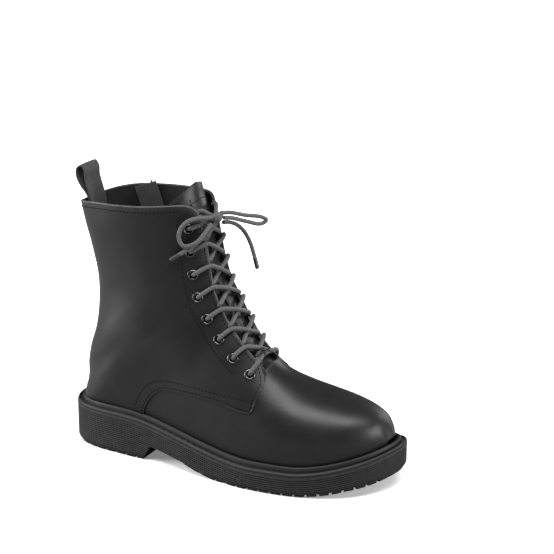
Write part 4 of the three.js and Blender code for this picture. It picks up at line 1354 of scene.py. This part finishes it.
OUTSIDE_SEAM = table("""
    x z
    69.8 45.3
    75.3 56.7
    82.3 66.1
    95.4 72.9
    137 73
    177 70.4
""")
INSIDE_SEAM = table("""
    x z
    104.5 50
    103 62
    107.5 72
    137 73.5
    177 70.4
""")
SECOND_SEAM = {-1: line_through(OUTSIDE_SEAM, 200), 1: line_through(INSIDE_SEAM, 200)}
for side, word in SIDES:
    flat = offset_inside(np.array(smooth_corners(QUARTER_SIDE[side])), 1.9, 260)
    for number, seam in enumerate((flat, SECOND_SEAM[side]), 1):
        found = [on_side(side, x, z, 0.0) for x, z in seam]
        row_through(f"quarter_stitches_{word}_{number}", found)

for side, word in SIDES:
    for label, column, behind, top, foot in (
        ("flap", "half", 2.6, FLAP_TOP[side] - 0.01, THROAT_END + 0.02),
        ("eyestay", "eyelet", 8.6, 0.93, 0.47),
    ):
        def beside_throat(t):
            u = mix(top, foot, t)
            return on_instep(u, side * (throat(column, u) + behind), 0.0)

        row_along(f"{label}_stitches_{word}", beside_throat, 120)

under_collar = [(x, z - 4.2) for x, z in smooth_line(side_shape(COLLAR)[1:], 160)]
for side, word in SIDES:
    start_x = max(station(0.97).back_x + 1, ZIP[0][0] + 8 if side > 0 else 0)
    keep = [(x, z) for x, z in under_collar if x > start_x and inside_throat(side, x, z) > 4]
    row_through(f"collar_stitches_{word}", [on_side(side, x, z, 0.0) for x, z in keep])
for across in (7.0, 9.4, -7.0):
    word = "front" if across > 0 else "back"
    zip_row(f"zip_stitches_{word}_{abs(across):.0f}", across, 0.0, 120, 0.99)

# %% [markdown]
# ## The tongue
# The tongue is a soft padded leather flap behind the laces. It stands above the collar
# and leans back there. It starts as a grid laid under the upper, gets its thickness
# from Solidify, and its rim is bevelled round, because padding leaves no sharp edge.

# %% Tongue
TONGUE_START, TONGUE_TOP = instep_at(0.672), 0.98
TONGUE_THICKNESS = 2.2
TONGUE_MIDDLE = WALL + GAP + TONGUE_THICKNESS / 2
TONGUE_HALF_LOW, TONGUE_HALF_HIGH, TONGUE_LEAN = 32, 44, 9


def rise(u):
    """How far the instep stands above a straight line from flap to flap."""
    half = throat("half", u)
    outer_edge, front, inner_edge = [on_instep(u, side * half, 0)[0] for side in (-1, 0, 1)]
    return np.linalg.norm(front - (outer_edge + inner_edge) / 2)


RISE_AT = np.linspace(0.38, 0.97, 40)
RISE = [rise(float(u)) for u in RISE_AT]


def pressed(u, around):
    """How far the pulled laces press the tongue in, between the flaps."""
    laced = smooth(0.38, 0.46, u) * (1 - smooth(0.90, 0.96, u))
    reach = throat("half", u) + 4
    return 0.85 * laced * np.interp(u, RISE_AT, RISE) * max(0.0, 1 - (around / reach) ** 2)


def tongue_point(share, v, depth):
    """A place on the tongue: share from -1 to 1 across it, v from 0 to 1 up it."""
    u = mix(TONGUE_START, TONGUE_TOP - 0.018 * abs(share) ** 1.5, v)
    half = mix(TONGUE_HALF_LOW, TONGUE_HALF_HIGH, smooth(0.2, 1, v))
    crown = 0.35 * (1 - share * share) * sin(v * 40) ** 2 * smooth(0.1, 0.3, v)
    point, out = on_instep(u, share * half, depth - crown * 0.4 + pressed(u, share * half))
    aside = min(1.0, abs(point[1]) / TONGUE_HALF_HIGH)
    free = smooth(0.87 * BOOT_HEIGHT, 1.05 * BOOT_HEIGHT, point[2])
    point[0] -= TONGUE_LEAN * free * (1 - aside * aside)
    return point, out


tongue_rows = [
    [tongue_point(2 * s - 1, v, TONGUE_MIDDLE)[0] for s in spread(40)] for v in spread(90)
]


def with_thickness(name, rows, thickness, round_rim, uv=(1, 1)):
    """A grid of points made a sheet with both faces and a rounded rim."""
    obj = laid(name, rows, uv=uv)
    add_modifier(obj, "SOLIDIFY", thickness=thickness / 1000, offset=0)
    in_edit_mode(obj, face_out)
    return bevelled(obj, round_rim, 55)


tongue = with_thickness("tongue", tongue_rows, TONGUE_THICKNESS, 0.8)
tongue_rim = [tongue_point(2 * s - 1, 1, TONGUE_MIDDLE)[0] for s in spread(60)]
# The tongue's rim is made paler in colour: partly wear, partly a painted highlight.
mark_edge(tongue, [tongue_rim], 3)
done(tongue, "tongue", leather, ["tongue"])
for side, word in SIDES:
    row_along(
        f"tongue_stitches_{word}",
        lambda t: tongue_point(side * 0.32, mix(0.02, 0.985, t), WALL + GAP),
        140,
        slot="tongue",
    )
row_along(
    "tongue_stitches_top",
    lambda t: tongue_point(mix(-0.9, 0.9, t), 0.975, WALL + GAP),
    80,
    slot="tongue",
)

# %% [markdown]
# ## The lace keeper
# A small leather strip is sewn to the tongue, and a lace runs behind it so that the
# tongue can't slip. It is a grid like the tongue, a little narrower at both ends, and
# bowed outwards in the middle, where the lace passes.

# %% Keeper
KEEPER_STATIONS, KEEPER_ROUNDS, KEEPER_THICKNESS = (0.56, 0.625), (-9, 1), 0.9
keeper_depth = WALL - GAP - KEEPER_THICKNESS / 2
keeper_middle = sum(KEEPER_ROUNDS) / 2
keeper_rows = []
for v in spread(24):
    u = mix(*KEEPER_STATIONS, v)
    pinch = 1 - 0.22 * abs(2 * v - 1) ** 2
    row = []
    for w in spread(16):
        around = keeper_middle + (mix(*KEEPER_ROUNDS, w) - keeper_middle) * pinch
        bow = 1.1 * sin(pi * v) * sin(pi * w) ** 0.7
        row.append(on_instep(u, around, keeper_depth - bow + pressed(u, around))[0])
    keeper_rows.append(row)
keeper = with_thickness("tongue_keeper", keeper_rows, KEEPER_THICKNESS, 0.35)
keeper_sides = [point for row in keeper_rows for point in (row[0], row[-1])]
# The keeper's sides and ends are made paler in colour: partly wear, partly a painted highlight.
mark_edge(keeper, [keeper_sides, keeper_rows[0], keeper_rows[-1]], 1.5)
done(keeper, "tongue_keeper", leather, ["tongue_keeper"])

# %% [markdown]
# ## The eyelets
# Each eyelet is a pressed metal ring: a domed flange that holds the leather, and a
# barrel that goes through it. Its profile is drawn once and spun round its own axis,
# as on a lathe, then copied to the sixteen places.

# %% One eyelet, spun
EYELET_PROFILE = table("""
    radius height
    2.95 -3.3
    2.35 -3.3
    2.3 -1
    2.4 0.35
    2.75 0.95
    3.3 1.2
    3.9 1.1
    4.45 0.65
    4.65 0.1
    4.5 -0.05
    3.0 -0.05
    2.95 -3.3
""")
profile_mesh = bpy.data.meshes.new("eyelet profile")
profile_points = [(row["radius"] / 1000, 0, row["height"] / 1000) for row in EYELET_PROFILE]
profile_mesh.from_pydata(profile_points, [(k, k + 1) for k in range(len(profile_points) - 1)], [])
eyelet_model = bpy.data.objects.new("eyelet", profile_mesh)
bpy.context.collection.objects.link(eyelet_model)
in_edit_mode(
    eyelet_model,
    lambda: bpy.ops.mesh.spin(steps=36, angle=2 * pi, center=(0, 0, 0), axis=(0, 0, 1)),
    weld,
    face_out,
)
print("eyelet", len(eyelet_model.data.polygons), "faces")


# %% Sixteen eyelets
def copy_to(model, at, out):
    """A copy with its own mesh, standing at a place with its axis the way out."""
    copy = model.copy()
    copy.data = model.data.copy()
    bpy.context.collection.objects.link(copy)
    aim = Vector(out).to_track_quat("Z", "Y").to_matrix().to_4x4()
    copy.data.transform(Matrix.Translation(Vector(metres(at))) @ aim)
    return copy


for k, u in enumerate(EYELET_AT):
    for side, word in SIDES:
        at, out = on_instep(u, side * throat("eyelet", u), 0)
        name = f"eyelet_{word}_{k + 1}"
        copy = copy_to(eyelet_model, at, out)
        centre, way = Vector(metres(at)), Vector(out)
        heights = [(v.co - centre).dot(way) * 1000 for v in copy.data.vertices]
        # The flange's raised top takes the finish's paler grey.
        keep_edge(copy, [smooth(0.8, 1.2, height) for height in heights])
        done(copy, name, metal, [name], angle=50)
bpy.data.objects.remove(eyelet_model)

# %% [markdown]
# ## The laced crossings
# Each strand comes up from under one flap, crosses the tongue and the other flap, and
# dives into the next eyelet up. The strand towards the outer side lies on top. The
# lowest piece is a bar from eyelet to eyelet. All are tubes with the braid on them.

# %% Strands through the eyelets
OVER_FLAP = -(LACE + 0.1)


def dive(u, side):
    """The last points of a strand: over the flange and down the eyelet's hole."""
    around = throat("eyelet", u)
    return [
        on_instep(u, side * (around - 4.4), OVER_FLAP - 0.45)[0],
        on_instep(u, side * (around - 2.0), OVER_FLAP - 0.1)[0],
        on_instep(u, side * (around - 0.5), -0.3)[0],
        on_instep(u, side * (around + 0.2), 2.6)[0],
    ]


def strand(k, side, lift, start_depth):
    """A pulled strand: straight from flap to flap, but for its lift where two cross."""
    upper_eye, lower_eye = EYELET_AT[k], EYELET_AT[k + 1]
    start, edge = mix(lower_eye, upper_eye, 0.1), mix(lower_eye, upper_eye, 0.9)
    half, far = throat("half", start), throat("half", edge)
    out = on_instep(mix(lower_eye, upper_eye, 0.5), 0, 0)[1]
    begin = on_instep(start, side * (half - 1.0), start_depth)[0]
    end = on_instep(edge, -side * far, OVER_FLAP)[0]
    points = [
        on_instep(start, side * (half + 3.2), 2.9)[0],
        begin,
        mix(begin, end, 0.35) + 0.9 * lift * out,
        mix(begin, end, 0.6) + (lift + 0.5) * out,
        mix(begin, end, 0.82) + (0.4 * lift + 1.0) * out,
        end,
        *dive(upper_eye, -side),
    ]
    return smooth_line(points, 56)


for k in range(EYELETS - 1):
    middle = mix(EYELET_AT[k], EYELET_AT[k + 1], 0.4)
    on_keeper = KEEPER_STATIONS[0] - 0.02 < middle < KEEPER_STATIONS[1] + 0.02
    raised = 1.4 if on_keeper else 0
    depth = 1.4 - 0.7 * raised
    lifts = ((-1, raised - 0.9), (1, raised + 1.6))
    strands = [tube("strand", strand(k, side, lift, depth), LACE) for side, lift in lifts]
    name = f"lace_cross_{k + 1}"
    done(joined(strands, name), name, lace_braid, [name])

bar_u = EYELET_AT[-1]
bar_half = throat("half", bar_u)
bar_points = [
    *dive(bar_u, -1)[::-1],
    on_instep(bar_u, -bar_half, OVER_FLAP - 0.6)[0],
    on_instep(bar_u, 0, 0.7 * rise(bar_u) - 0.6)[0],
    on_instep(bar_u, bar_half, OVER_FLAP - 0.6)[0],
    *dive(bar_u, 1),
]
done(tube("lace_bar", smooth_line(bar_points, 80), LACE), "lace_bar", lace_braid, ["lace_bar"])

# %% [markdown]
# ## The knot
# A bow's knot is one lace wrapped round the other. Three rings of lace wrap a core at
# different tilts, and the two tails rise into it from under the flaps.


# %% Knot
def wrap(centre, size, tilt, turn):
    points = []
    for k in range(24):
        angle = 2 * pi * k / 24
        flat = Vector((size[0] * cos(angle), 0.7 * sin(2 * angle), size[1] * sin(angle)))
        flat.rotate(Matrix.Rotation(tilt, 3, "X"))
        flat.rotate(Matrix.Rotation(turn, 3, "Z"))
        points.append(np.array(centre) + np.array(flat))
    line = smooth_line(points, 48, closed=True)
    return tube("wrap", line, LACE * 0.95)


knot_parts = [
    wrap(KNOT, (2.6, 2.6), 0.2, 0.35),
    wrap(np.array(KNOT) + (0.2, 2.2, -0.3), (2.2, 2.4), -0.35, -0.3),
    wrap(np.array(KNOT) + (0, -2.2, 0.2), (2.2, 2.3), 0.5, 0.8),
    tube("core", smooth_line([np.array(KNOT) + (0, y, 0) for y in (-4.6, 0, 4.6)], 12), LACE * 1.15),
]
for side in (-1, 1):
    under = on_instep(0.95, side * (throat("half", 0.95) - 1.5), 0.6)[0]
    below = on_instep(0.947, side * (throat("half", 0.95) + 3), 2.9)[0]
    knot_parts.append(tube("tail", smooth_line([below, under, (under + KNOT) / 2, KNOT], 20), LACE))
done(joined(knot_parts, "lace_knot"), "lace_knot", lace_braid, ["lace_knot"])

# %% [markdown]
# ## The outsole
# One rubber unit with a ribbed side wall, a heel, an arch and lugs round the tread.
# Fine rings follow the outline downwards, and their distance from it swells and sinks
# for each rib. Booleans then take off the top, the arch, the gaps between the lugs and
# shallow grooves across the tread.

# %% Outsole
RIB, RIB_DEPTH, RIB_COUNT, FIRST_RIB = 1.75, 0.8, 21, 1.6
RIB_PROFILE = table("""
    down depth
    0.00 0
    0.95 0
    1.15 1
    1.55 1
""")
LUG_REACH, LUG_GAP, LUG_HEIGHT, LUG_PITCH = 16, 2.3, 2.1, 10
GROOVE_WIDTH, GROOVE_HEIGHT = 2.2, 2.4
BREAST, ARCH_END, ARCH_RISE = 86, 146, 14
HEEL_GROOVES = np.arange(18, 66, 8.5)
FOREFOOT_GROOVES = np.arange(160, 262, 9.5)
sole_points = outline_frame(300)


def wall_ring(drop, depth):
    """A ring of the side wall, drop mm under its top, pulled in by the rib's depth."""

    def margin(x):
        above = sole_top_at(x) - drop - spring_at(x)
        return RIB_DEPTH * depth + 2.6 * (1 - smooth(0, 5, above))

    return ring_inside(sole_points, margin, lambda x: sole_top_at(x) - drop)


side_wall = [ring_inside(sole_points, 0, lambda x: sole_top_at(x) + 3), wall_ring(0, 0)]
for rib in range(RIB_COUNT):
    for row in RIB_PROFILE:
        side_wall.append(wall_ring(FIRST_RIB + rib * RIB + row["down"], row["depth"]))
outsole = body("outsole", side_wall[::-1])
cut(outsole, layer(sole_top_at, lambda x: FAR_BEYOND))
arch = [(mix(BREAST, ARCH_END, t), ARCH_RISE * (1 - t ** 1.5)) for t in spread(14)]
spring = [(x, spring_at(x)) for x in np.linspace(SPRING_START, SOLE_LENGTH + BEYOND, 20)]
under = [(-BEYOND, -FAR_BEYOND), (-BEYOND, 0), (HEEL_LENGTH, 0), *arch, *spring]
under.append((SOLE_LENGTH + BEYOND, -FAR_BEYOND))
cut(outsole, side_block("under tread", under, -BALL_WIDTH, BALL_WIDTH))


def block(name, size, centre, turn):
    """A box with softened edges, turned about Z, for cutting a gap."""
    nothing_selected()
    bpy.ops.mesh.primitive_cube_add(size=1)
    obj = bpy.context.object
    obj.name = name
    in_edit_mode(
        obj,
        lambda: bpy.ops.transform.resize(value=tuple(value / 1000 for value in size)),
        lambda: bpy.ops.mesh.bevel(offset=0.0005, segments=2),
        face_out,
    )
    obj.data.transform(Matrix.Translation(Vector(metres(centre))) @ Matrix.Rotation(turn, 4, "Z"))
    return obj


fine_line, fine_in = outline_frame(400)
every = round(LUG_PITCH / np.linalg.norm(fine_line[1] - fine_line[0]))
gaps = []
for k in range(0, 400, every):
    x, y = fine_line[k]
    if x < HEEL_LENGTH - LUG_GAP or x > ARCH_END + LUG_GAP:
        turn = float(np.arctan2(fine_in[k][1], fine_in[k][0]))
        size = (2 * LUG_REACH, LUG_GAP, 2 * LUG_HEIGHT)
        gaps.append(block("gap", size, (x, y, spring_at(x)), turn))
grooves = []
for x in [*HEEL_GROOVES, *FOREFOOT_GROOVES]:
    low, high = width_at(FEATHER, x)
    size = (GROOVE_WIDTH, high - low - 2 * LUG_REACH + 8, GROOVE_HEIGHT)
    grooves.append(block("groove", size, (x, (low + high) / 2, spring_at(x)), 0))
for tool in gaps + grooves:
    cut(outsole, tool)
# The sole's top edge and the top of every rib are made paler in colour: a painted highlight where they
# face the light.
lit_sole_top_ring = ring_inside(sole_points, 0, lambda x: sole_top_at(x) - 0.2)
lit_rib_tops = [
    wall_ring(FIRST_RIB + rib * RIB + down, 0)
    for rib in range(RIB_COUNT)
    for down in (0.1, 0.5, 0.85)
]
mark_edge(outsole, [lit_sole_top_ring, *lit_rib_tops], 0.9)
done(outsole, "outsole", rubber, ["outsole"], angle=28)

# %% [markdown]
# ## The welt
# A rubber strip runs round the ledge between sole and leather: a milled lip outside, a
# groove with the heavy welt stitch, and a bead against the leather. Its section is
# carried round the outline, and the lip's small teeth come from pulling every second
# ring in and down a little.

# %% Welt
WELT_SECTION = table("""
    across up tooth
    0.10 -1.09 0
    0.03 -1.02 1
    0.03 -0.60 1
    0.07 -0.42 1
    0.13 -0.26 1
    0.20 -0.16 1
    0.25 -0.18 1
    0.29 -0.34 0
    0.32 -0.74 0
    0.38 -0.92 0
    0.50 -0.92 0
    0.55 -0.70 0
    0.57 -0.10 0
    0.58 0.40 0
    0.64 0.82 0
    0.72 0.98 0
    0.80 1.00 0
    0.88 0.84 0
    0.94 0.50 0
    0.965 0.05 0
    1.50 0.02 0
    1.50 -1.09 0
""")
WELT_STEPS, TOOTH = 900, 0.16
welt_line, welt_in = outline_frame(WELT_STEPS)
welt_rings = []
for k in range(WELT_STEPS):
    (x, y), (in_x, in_y) = welt_line[k], welt_in[k]
    tooth = TOOTH if k % 2 else 0.0
    ring = []
    for row in WELT_SECTION:
        m = row["across"] * LEDGE + row["tooth"] * tooth
        up = row["up"] * WELT - row["tooth"] * tooth * 0.8
        px = x + in_x * m
        ring.append((px, y + in_y * m, ledge_at(px) + up))
    welt_rings.append(ring)
welt_rings.append(welt_rings[0])
welt = laid("welt", welt_rings, around=True)
in_edit_mode(welt, weld, face_out)


def along_welt(inwards, up, every):
    """Every so many points round the ledge, this far inwards from its edge and above it."""
    points = []
    for (x, y), (in_x, in_y) in zip(welt_line[::every], welt_in[::every]):
        px = x + in_x * inwards
        points.append((px, y + in_y * inwards, ledge_at(px) + up))
    return points


# The bead's top and the lip's outer edge are made paler in colour: a painted highlight.
mark_edge(welt, [along_welt(5.9, WELT, 3), along_welt(0.8, -0.9, 3)], 1.3)
done(welt, "welt", rubber, ["welt"], angle=30)
groove_line = along_welt(3.5, -2.2, 4)
groove_line = np.array([*groove_line, groove_line[0]])
upwards = np.tile([0.0, 0, 1], (len(groove_line), 1))
stitch_row("welt_stitches", groove_line, upwards, pitch=6.2, long=5.4, wide=1.6, lift=0.2,
           material=welt_thread, slot="welt", lean=0.12)

# %% [markdown]
# ## The insole
# The insole is the sock that closes the bottom inside. The loaded solid already has
# the right shape, so it stays, and only gets the lining's finish.

# %% Insole
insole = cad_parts["insole"]
insole.data.materials.clear()
insole.data.materials.append(lining)

# %% [markdown]
# ## The pull loop
# A piece of ribbed webbing comes up from behind the lining at the back, turns over and
# goes down again. Its path is drawn in the side view and widened across the boot as a
# grid. Its weave is a bump that follows the grid's UV map.

# %% Pull loop
LOOP_PATH = table("""
    along up
    0.0572 0.890
    0.0517 0.930
    0.0475 0.958
    0.0300 0.992
    0.0205 1.025
    0.0225 1.054
    0.0370 1.066
    0.0475 1.048
    0.0480 1.015
    0.0530 0.975
    0.0590 0.930
    0.0645 0.890
""")
LOOP_WIDTH, LOOP_THICKNESS = 22, 1.4
loop_line = smooth_line(side_shape(LOOP_PATH), 220)
loop_rows = []
for x, z in loop_line:
    bend = mix(1 / 40, 1 / 200, smooth(0.93 * BOOT_HEIGHT, 1.04 * BOOT_HEIGHT, z))
    across = [(w - 0.5) * LOOP_WIDTH for w in spread(22)]
    loop_rows.append([(x + y * y * bend, y, z) for y in across])
pull_loop = with_thickness("pull_loop", loop_rows, LOOP_THICKNESS - 0.15, 0.4, uv=(1, 4))
done(pull_loop, "pull_loop", webbing, ["pull_loop"])

# %% [markdown]
# ## The zip
# The zip lies on the inner side: a woven tape behind the slot, two rows of teeth that
# close on each other, and a slider near the top with a metal ring and a leather tab.
# The teeth are the stitch's model again, made longer and turned across the zip.

# %% Tape
TAPE_DEPTH, ZIP_TOP, ZIP_FOOT = WALL + GAP, 0.02, 0.985
tape_rows = []
for t in spread(120):
    share = mix(ZIP_TOP, ZIP_FOOT, t)
    tape_rows.append([on_zip(share, mix(-10, 10, w), TAPE_DEPTH + 0.5)[0] for w in spread(12)])
zip_tape = with_thickness("zip_tape", tape_rows, 0.9, 0.25, uv=(1, 9))
done(zip_tape, "zip_tape", webbing, ["zip_tape"])

# %% Teeth
for row_side, word in ZIP_SIDES:
    zip_row(f"zip_teeth_{word}", row_side * 0.95, 1.5, 160, ZIP_FOOT, pitch=1.5, long=3.2,
            wide=1.15, material=zip_plastic, slot="zip_tape", lean=radians(90 - row_side * 12))
for row_side, word in ZIP_SIDES:
    zip_row(f"zip_tape_stitches_{word}", row_side * 3.3, TAPE_DEPTH, 120, ZIP_FOOT, pitch=2.2,
            long=1.8, wide=0.5, slot="zip_tape")

# %% [markdown]
# The slider, the ring and the tab were worked out in the slider's own frame: x across
# the zip, y outwards, z up the zip. Here the same frame places a rounded version of
# each. The ring and the tab swing, so they ride on the pull's body, not on the boot's.

# %% Slider's frame
SLIDER_AT = 0.072
slider_point, slider_out = on_zip(SLIDER_AT, 0, 0.6 - GAP)
slider_up = on_zip(SLIDER_AT - 0.05, 0, 0.6)[0] - on_zip(SLIDER_AT + 0.05, 0, 0.6)[0]
slider_across = np.cross(slider_out, slider_up)
slider_across /= np.linalg.norm(slider_across)
slider_along = np.cross(slider_across, slider_out)


def in_slider(points):
    """Points of the slider's own frame as points in millimetres."""
    return [slider_point + x * slider_across + y * slider_out + z * slider_along for x, y, z in points]


def rounded_plate(name, outline, low, high, soft):
    """A plate with rounded edges: an outline in x and z, between two heights y."""
    plate = body(name, [in_slider([(x, y, z) for x, z in outline]) for y in (low, high)])
    return bevelled(plate, soft, 50)


# %% Slider
SLIDER_LENGTH, SLIDER_WIDTH, SLIDER_THICKNESS = 11, 7.8, 2.2
half_long, half_wide, taper = SLIDER_LENGTH / 2, SLIDER_WIDTH / 2, 0.22 * SLIDER_WIDTH
waist = half_wide - taper
right = [
    (half_wide - 0.8, half_long),
    (half_wide, half_long - 1.2),
    (half_wide - 0.5, 1.5),
    (waist + 0.2, -half_long + 1.5),
    (waist - 0.8, -half_long),
]
left = [(-x, z) for x, z in reversed(right)]
slider_outline = [left[-1], *right, *left[:-1]]
slider_body = rounded_plate("slider", slider_outline, 0, SLIDER_THICKNESS, 0.5)
BAIL = table("""
    x y z
    0 1.9 -2.1
    0 3.4 -2.1
    0 4.6 -1.4
    0 4.75 0
    0 4.6 1.4
    0 3.4 2.1
    0 1.9 2.1
""")
bail = tube("bail", in_slider(line_through(BAIL, 30)), 0.55)
done(joined([slider_body, bail], "zip_slider"), "zip_slider", metal, ["zip_slider"])

# %% Pull ring and tab
RING_WIDTH, RING_LENGTH, RING_BAR = 6.4, 12, 1.2
bar_height = SLIDER_THICKNESS + 1
ring_drop = RING_LENGTH - RING_BAR
half_x, half_z, turn_in = RING_WIDTH / 2 - RING_BAR / 2, ring_drop / 2, 1.4
ring_corners = []
for corner_x, corner_z, start in ((1, 1, 0), (-1, 1, 90), (-1, -1, 180), (1, -1, 270)):
    for step in (0, 30, 60, 90):
        angle = radians(start + step)
        ring_corners.append((
            corner_x * (half_x - turn_in) + turn_in * cos(angle),
            bar_height,
            corner_z * (half_z - turn_in) + turn_in * sin(angle) - half_z,
        ))
ring_line = smooth_line(ring_corners, 72, closed=True)
ring_rings = tube_rings(ring_line[:-1], RING_BAR / 2 * 0.98, 12)
ring_rings.append(ring_rings[0])
pull_ring = laid("zip_pull_ring", [in_slider(r) for r in ring_rings], around=True)
in_edit_mode(pull_ring, weld, face_out)
done(pull_ring, "zip_pull_ring", metal, ["zip_pull_ring"], body="zip_pull", angle=60)

TAB_WIDTH, TAB_LENGTH, TAB_THICKNESS = 5.6, 20, 1.1
eye = RING_BAR / 2 + GAP
fold = eye + TAB_THICKNESS / 2
top_z, tip_z = -ring_drop, -ring_drop - fold - TAB_LENGTH
strap_top = top_z - 1.4 * fold
tab_half, tip_round = TAB_WIDTH / 2, 2.2
tab_outline = [(-tab_half, strap_top), (tab_half, strap_top), (tab_half, tip_z + tip_round)]
for step in range(1, 7):
    angle = radians(step * 180 / 7)
    tab_outline.append((tab_half * cos(angle), tip_z + tip_round - tip_round * sin(angle)))
tab_outline.append((-tab_half, tip_z + tip_round))
strap = rounded_plate("strap", tab_outline, bar_height - TAB_THICKNESS, bar_height + TAB_THICKNESS, 0.45)


def fold_row(up, z):
    """A row across the tab's fold, this far above the ring's bar."""
    return in_slider([(w * 3, bar_height + up, z) for w in (-0.5, -0.25, 0, 0.25, 0.5)])


fold_radius = eye + 0.25
fold_rows = [fold_row(-0.62, strap_top - 0.6)]
for k in range(25):
    angle = radians(-150 + 300 * k / 24)
    fold_rows.append(fold_row(fold_radius * sin(angle), top_z + fold_radius * cos(angle)))
fold_rows.append(fold_row(0.62, strap_top - 0.6))
fold_part = with_thickness("fold", fold_rows, 0.5, 0.15)
tab = joined([strap, fold_part], "zip_pull_tab")
tab_face = bar_height + TAB_THICKNESS
# The tab's edge is made paler in colour: partly wear, partly a painted highlight.
mark_edge(tab, [in_slider([(x, tab_face, z) for x, z in tab_outline])], 0.9)
done(tab, "zip_pull_tab", leather, ["zip_pull_tab"], body="zip_pull")
row_z = np.linspace(strap_top - 0.6, tip_z + 2.4, 20)
for number, sign in enumerate((-1, 1), 1):
    line = in_slider([(sign * (tab_half - 0.9), tab_face, z) for z in row_z])
    row = stitch_row(f"tab_stitches_{number}", np.array(line), np.tile(slider_out, (20, 1)),
                     pitch=1.9, long=1.4, wide=0.4, slot="zip_pull_tab")
    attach(row, "zip_pull")

# %% [markdown]
# ## Floor and light
# The photograph is a plain white studio shot. Black leather shows mostly what it
# mirrors, so the lights are large panels overhead, left, right and on the far side,
# and their reflections give the broad soft highlights. The floor shines white only
# towards the camera, away from the boot, and is see-through from underneath.

# %% Floor
nothing_selected()
bpy.ops.mesh.primitive_grid_add(x_subdivisions=12, y_subdivisions=12, size=9)
floor = bpy.context.object
floor.name = "floor"
floor_finish = bpy.data.materials.new("pale_floor")
floor_finish.use_nodes = True
floor_shader = floor_finish.node_tree.nodes["Principled BSDF"]
floor_shader.inputs["Roughness"].default_value = 0.9
floor_shader.inputs["Specular IOR Level"].default_value = 0.1
floor_shader.inputs["Emission Color"].default_value = (1, 1, 1, 1)
floor_tree = floor_finish.node_tree
floor_place = add_node(floor_tree, "TexCoord")
from_boot = add_node(floor_tree, "VectorMath", [(0, floor_place.outputs["Object"])], operation="LENGTH")
glow = add_node(floor_tree, "MapRange", [("Value", from_boot.outputs["Value"]), ("From Min", 0.3),
                                         ("From Max", 0.6), ("To Min", 0.2), ("To Max", 1.0)])
looked_at = add_node(floor_tree, "LightPath").outputs["Is Camera Ray"]
floor_tree.links.new(maths(floor_tree, "MULTIPLY", glow.outputs["Result"], looked_at),
                     floor_shader.inputs["Emission Strength"])
paleness = add_node(floor_tree, "MapRange", [("Value", looked_at), ("To Min", 0.35), ("To Max", 0.95)])
floor_tree.links.new(paleness.outputs["Result"], floor_shader.inputs["Base Color"])
see_through = add_node(floor_tree, "BsdfTransparent")
from_below = add_node(floor_tree, "NewGeometry").outputs["Backfacing"]
either = add_node(floor_tree, "MixShader", [(0, from_below), (1, floor_shader.outputs["BSDF"]),
                                            (2, see_through.outputs["BSDF"])])
floor_tree.links.new(either.outputs["Shader"], floor_tree.nodes["Material Output"].inputs["Surface"])
floor.data.materials.append(floor_finish)
floor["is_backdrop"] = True

# %% Lights
world = bpy.data.worlds.new("studio")
bpy.context.scene.world = world
world.use_nodes = True
background = world.node_tree.nodes["Background"]
background.inputs["Color"].default_value = (1, 1, 1, 1)
to_camera = add_node(world.node_tree, "LightPath").outputs["Is Camera Ray"]
strength = add_node(world.node_tree, "MapRange", [("Value", to_camera), ("To Min", 0.1)])
world.node_tree.links.new(strength.outputs["Result"], background.inputs["Strength"])


def panel(name, place, target, size, power):
    data = bpy.data.lights.new(name, "AREA")
    data.shape = "RECTANGLE"
    data.size, data.size_y = size
    data.energy = power
    light = bpy.data.objects.new(name, data)
    light.location = place
    way = Vector(target) - Vector(place)
    light.rotation_euler = way.to_track_quat("-Z", "Y").to_euler()
    bpy.context.collection.objects.link(light)


panel("overhead", (0.35, -0.42, 1.3), (0.08, 0, 0.05), (1.4, 0.55), 32)
panel("left wall", (-1.35, -0.75, 0.5), (0, 0, 0.12), (0.9, 1.1), 40)
panel("right wall", (1.3, 0.05, 0.3), (0.1, 0, 0.05), (0.8, 0.55), 15)
panel("far side", (0.5, 1.3, 0.45), (0, 0, 0.1), (0.8, 0.6), 6)
bpy.context.scene.view_settings.view_transform = "Standard"

# %% [markdown]
# ## Sizes
# The dressed boot has to fill the same box as the solids, give or take what soft
# pieces stand proud.

# %% Sizes
sizes = {
    "cad": [list(corner) for corner in CAD_BOX],
    "visual": [list(corner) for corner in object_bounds()],
}
for name, box in sizes.items():
    print(name, [round(value * 1000, 1) for corner in box for value in corner])
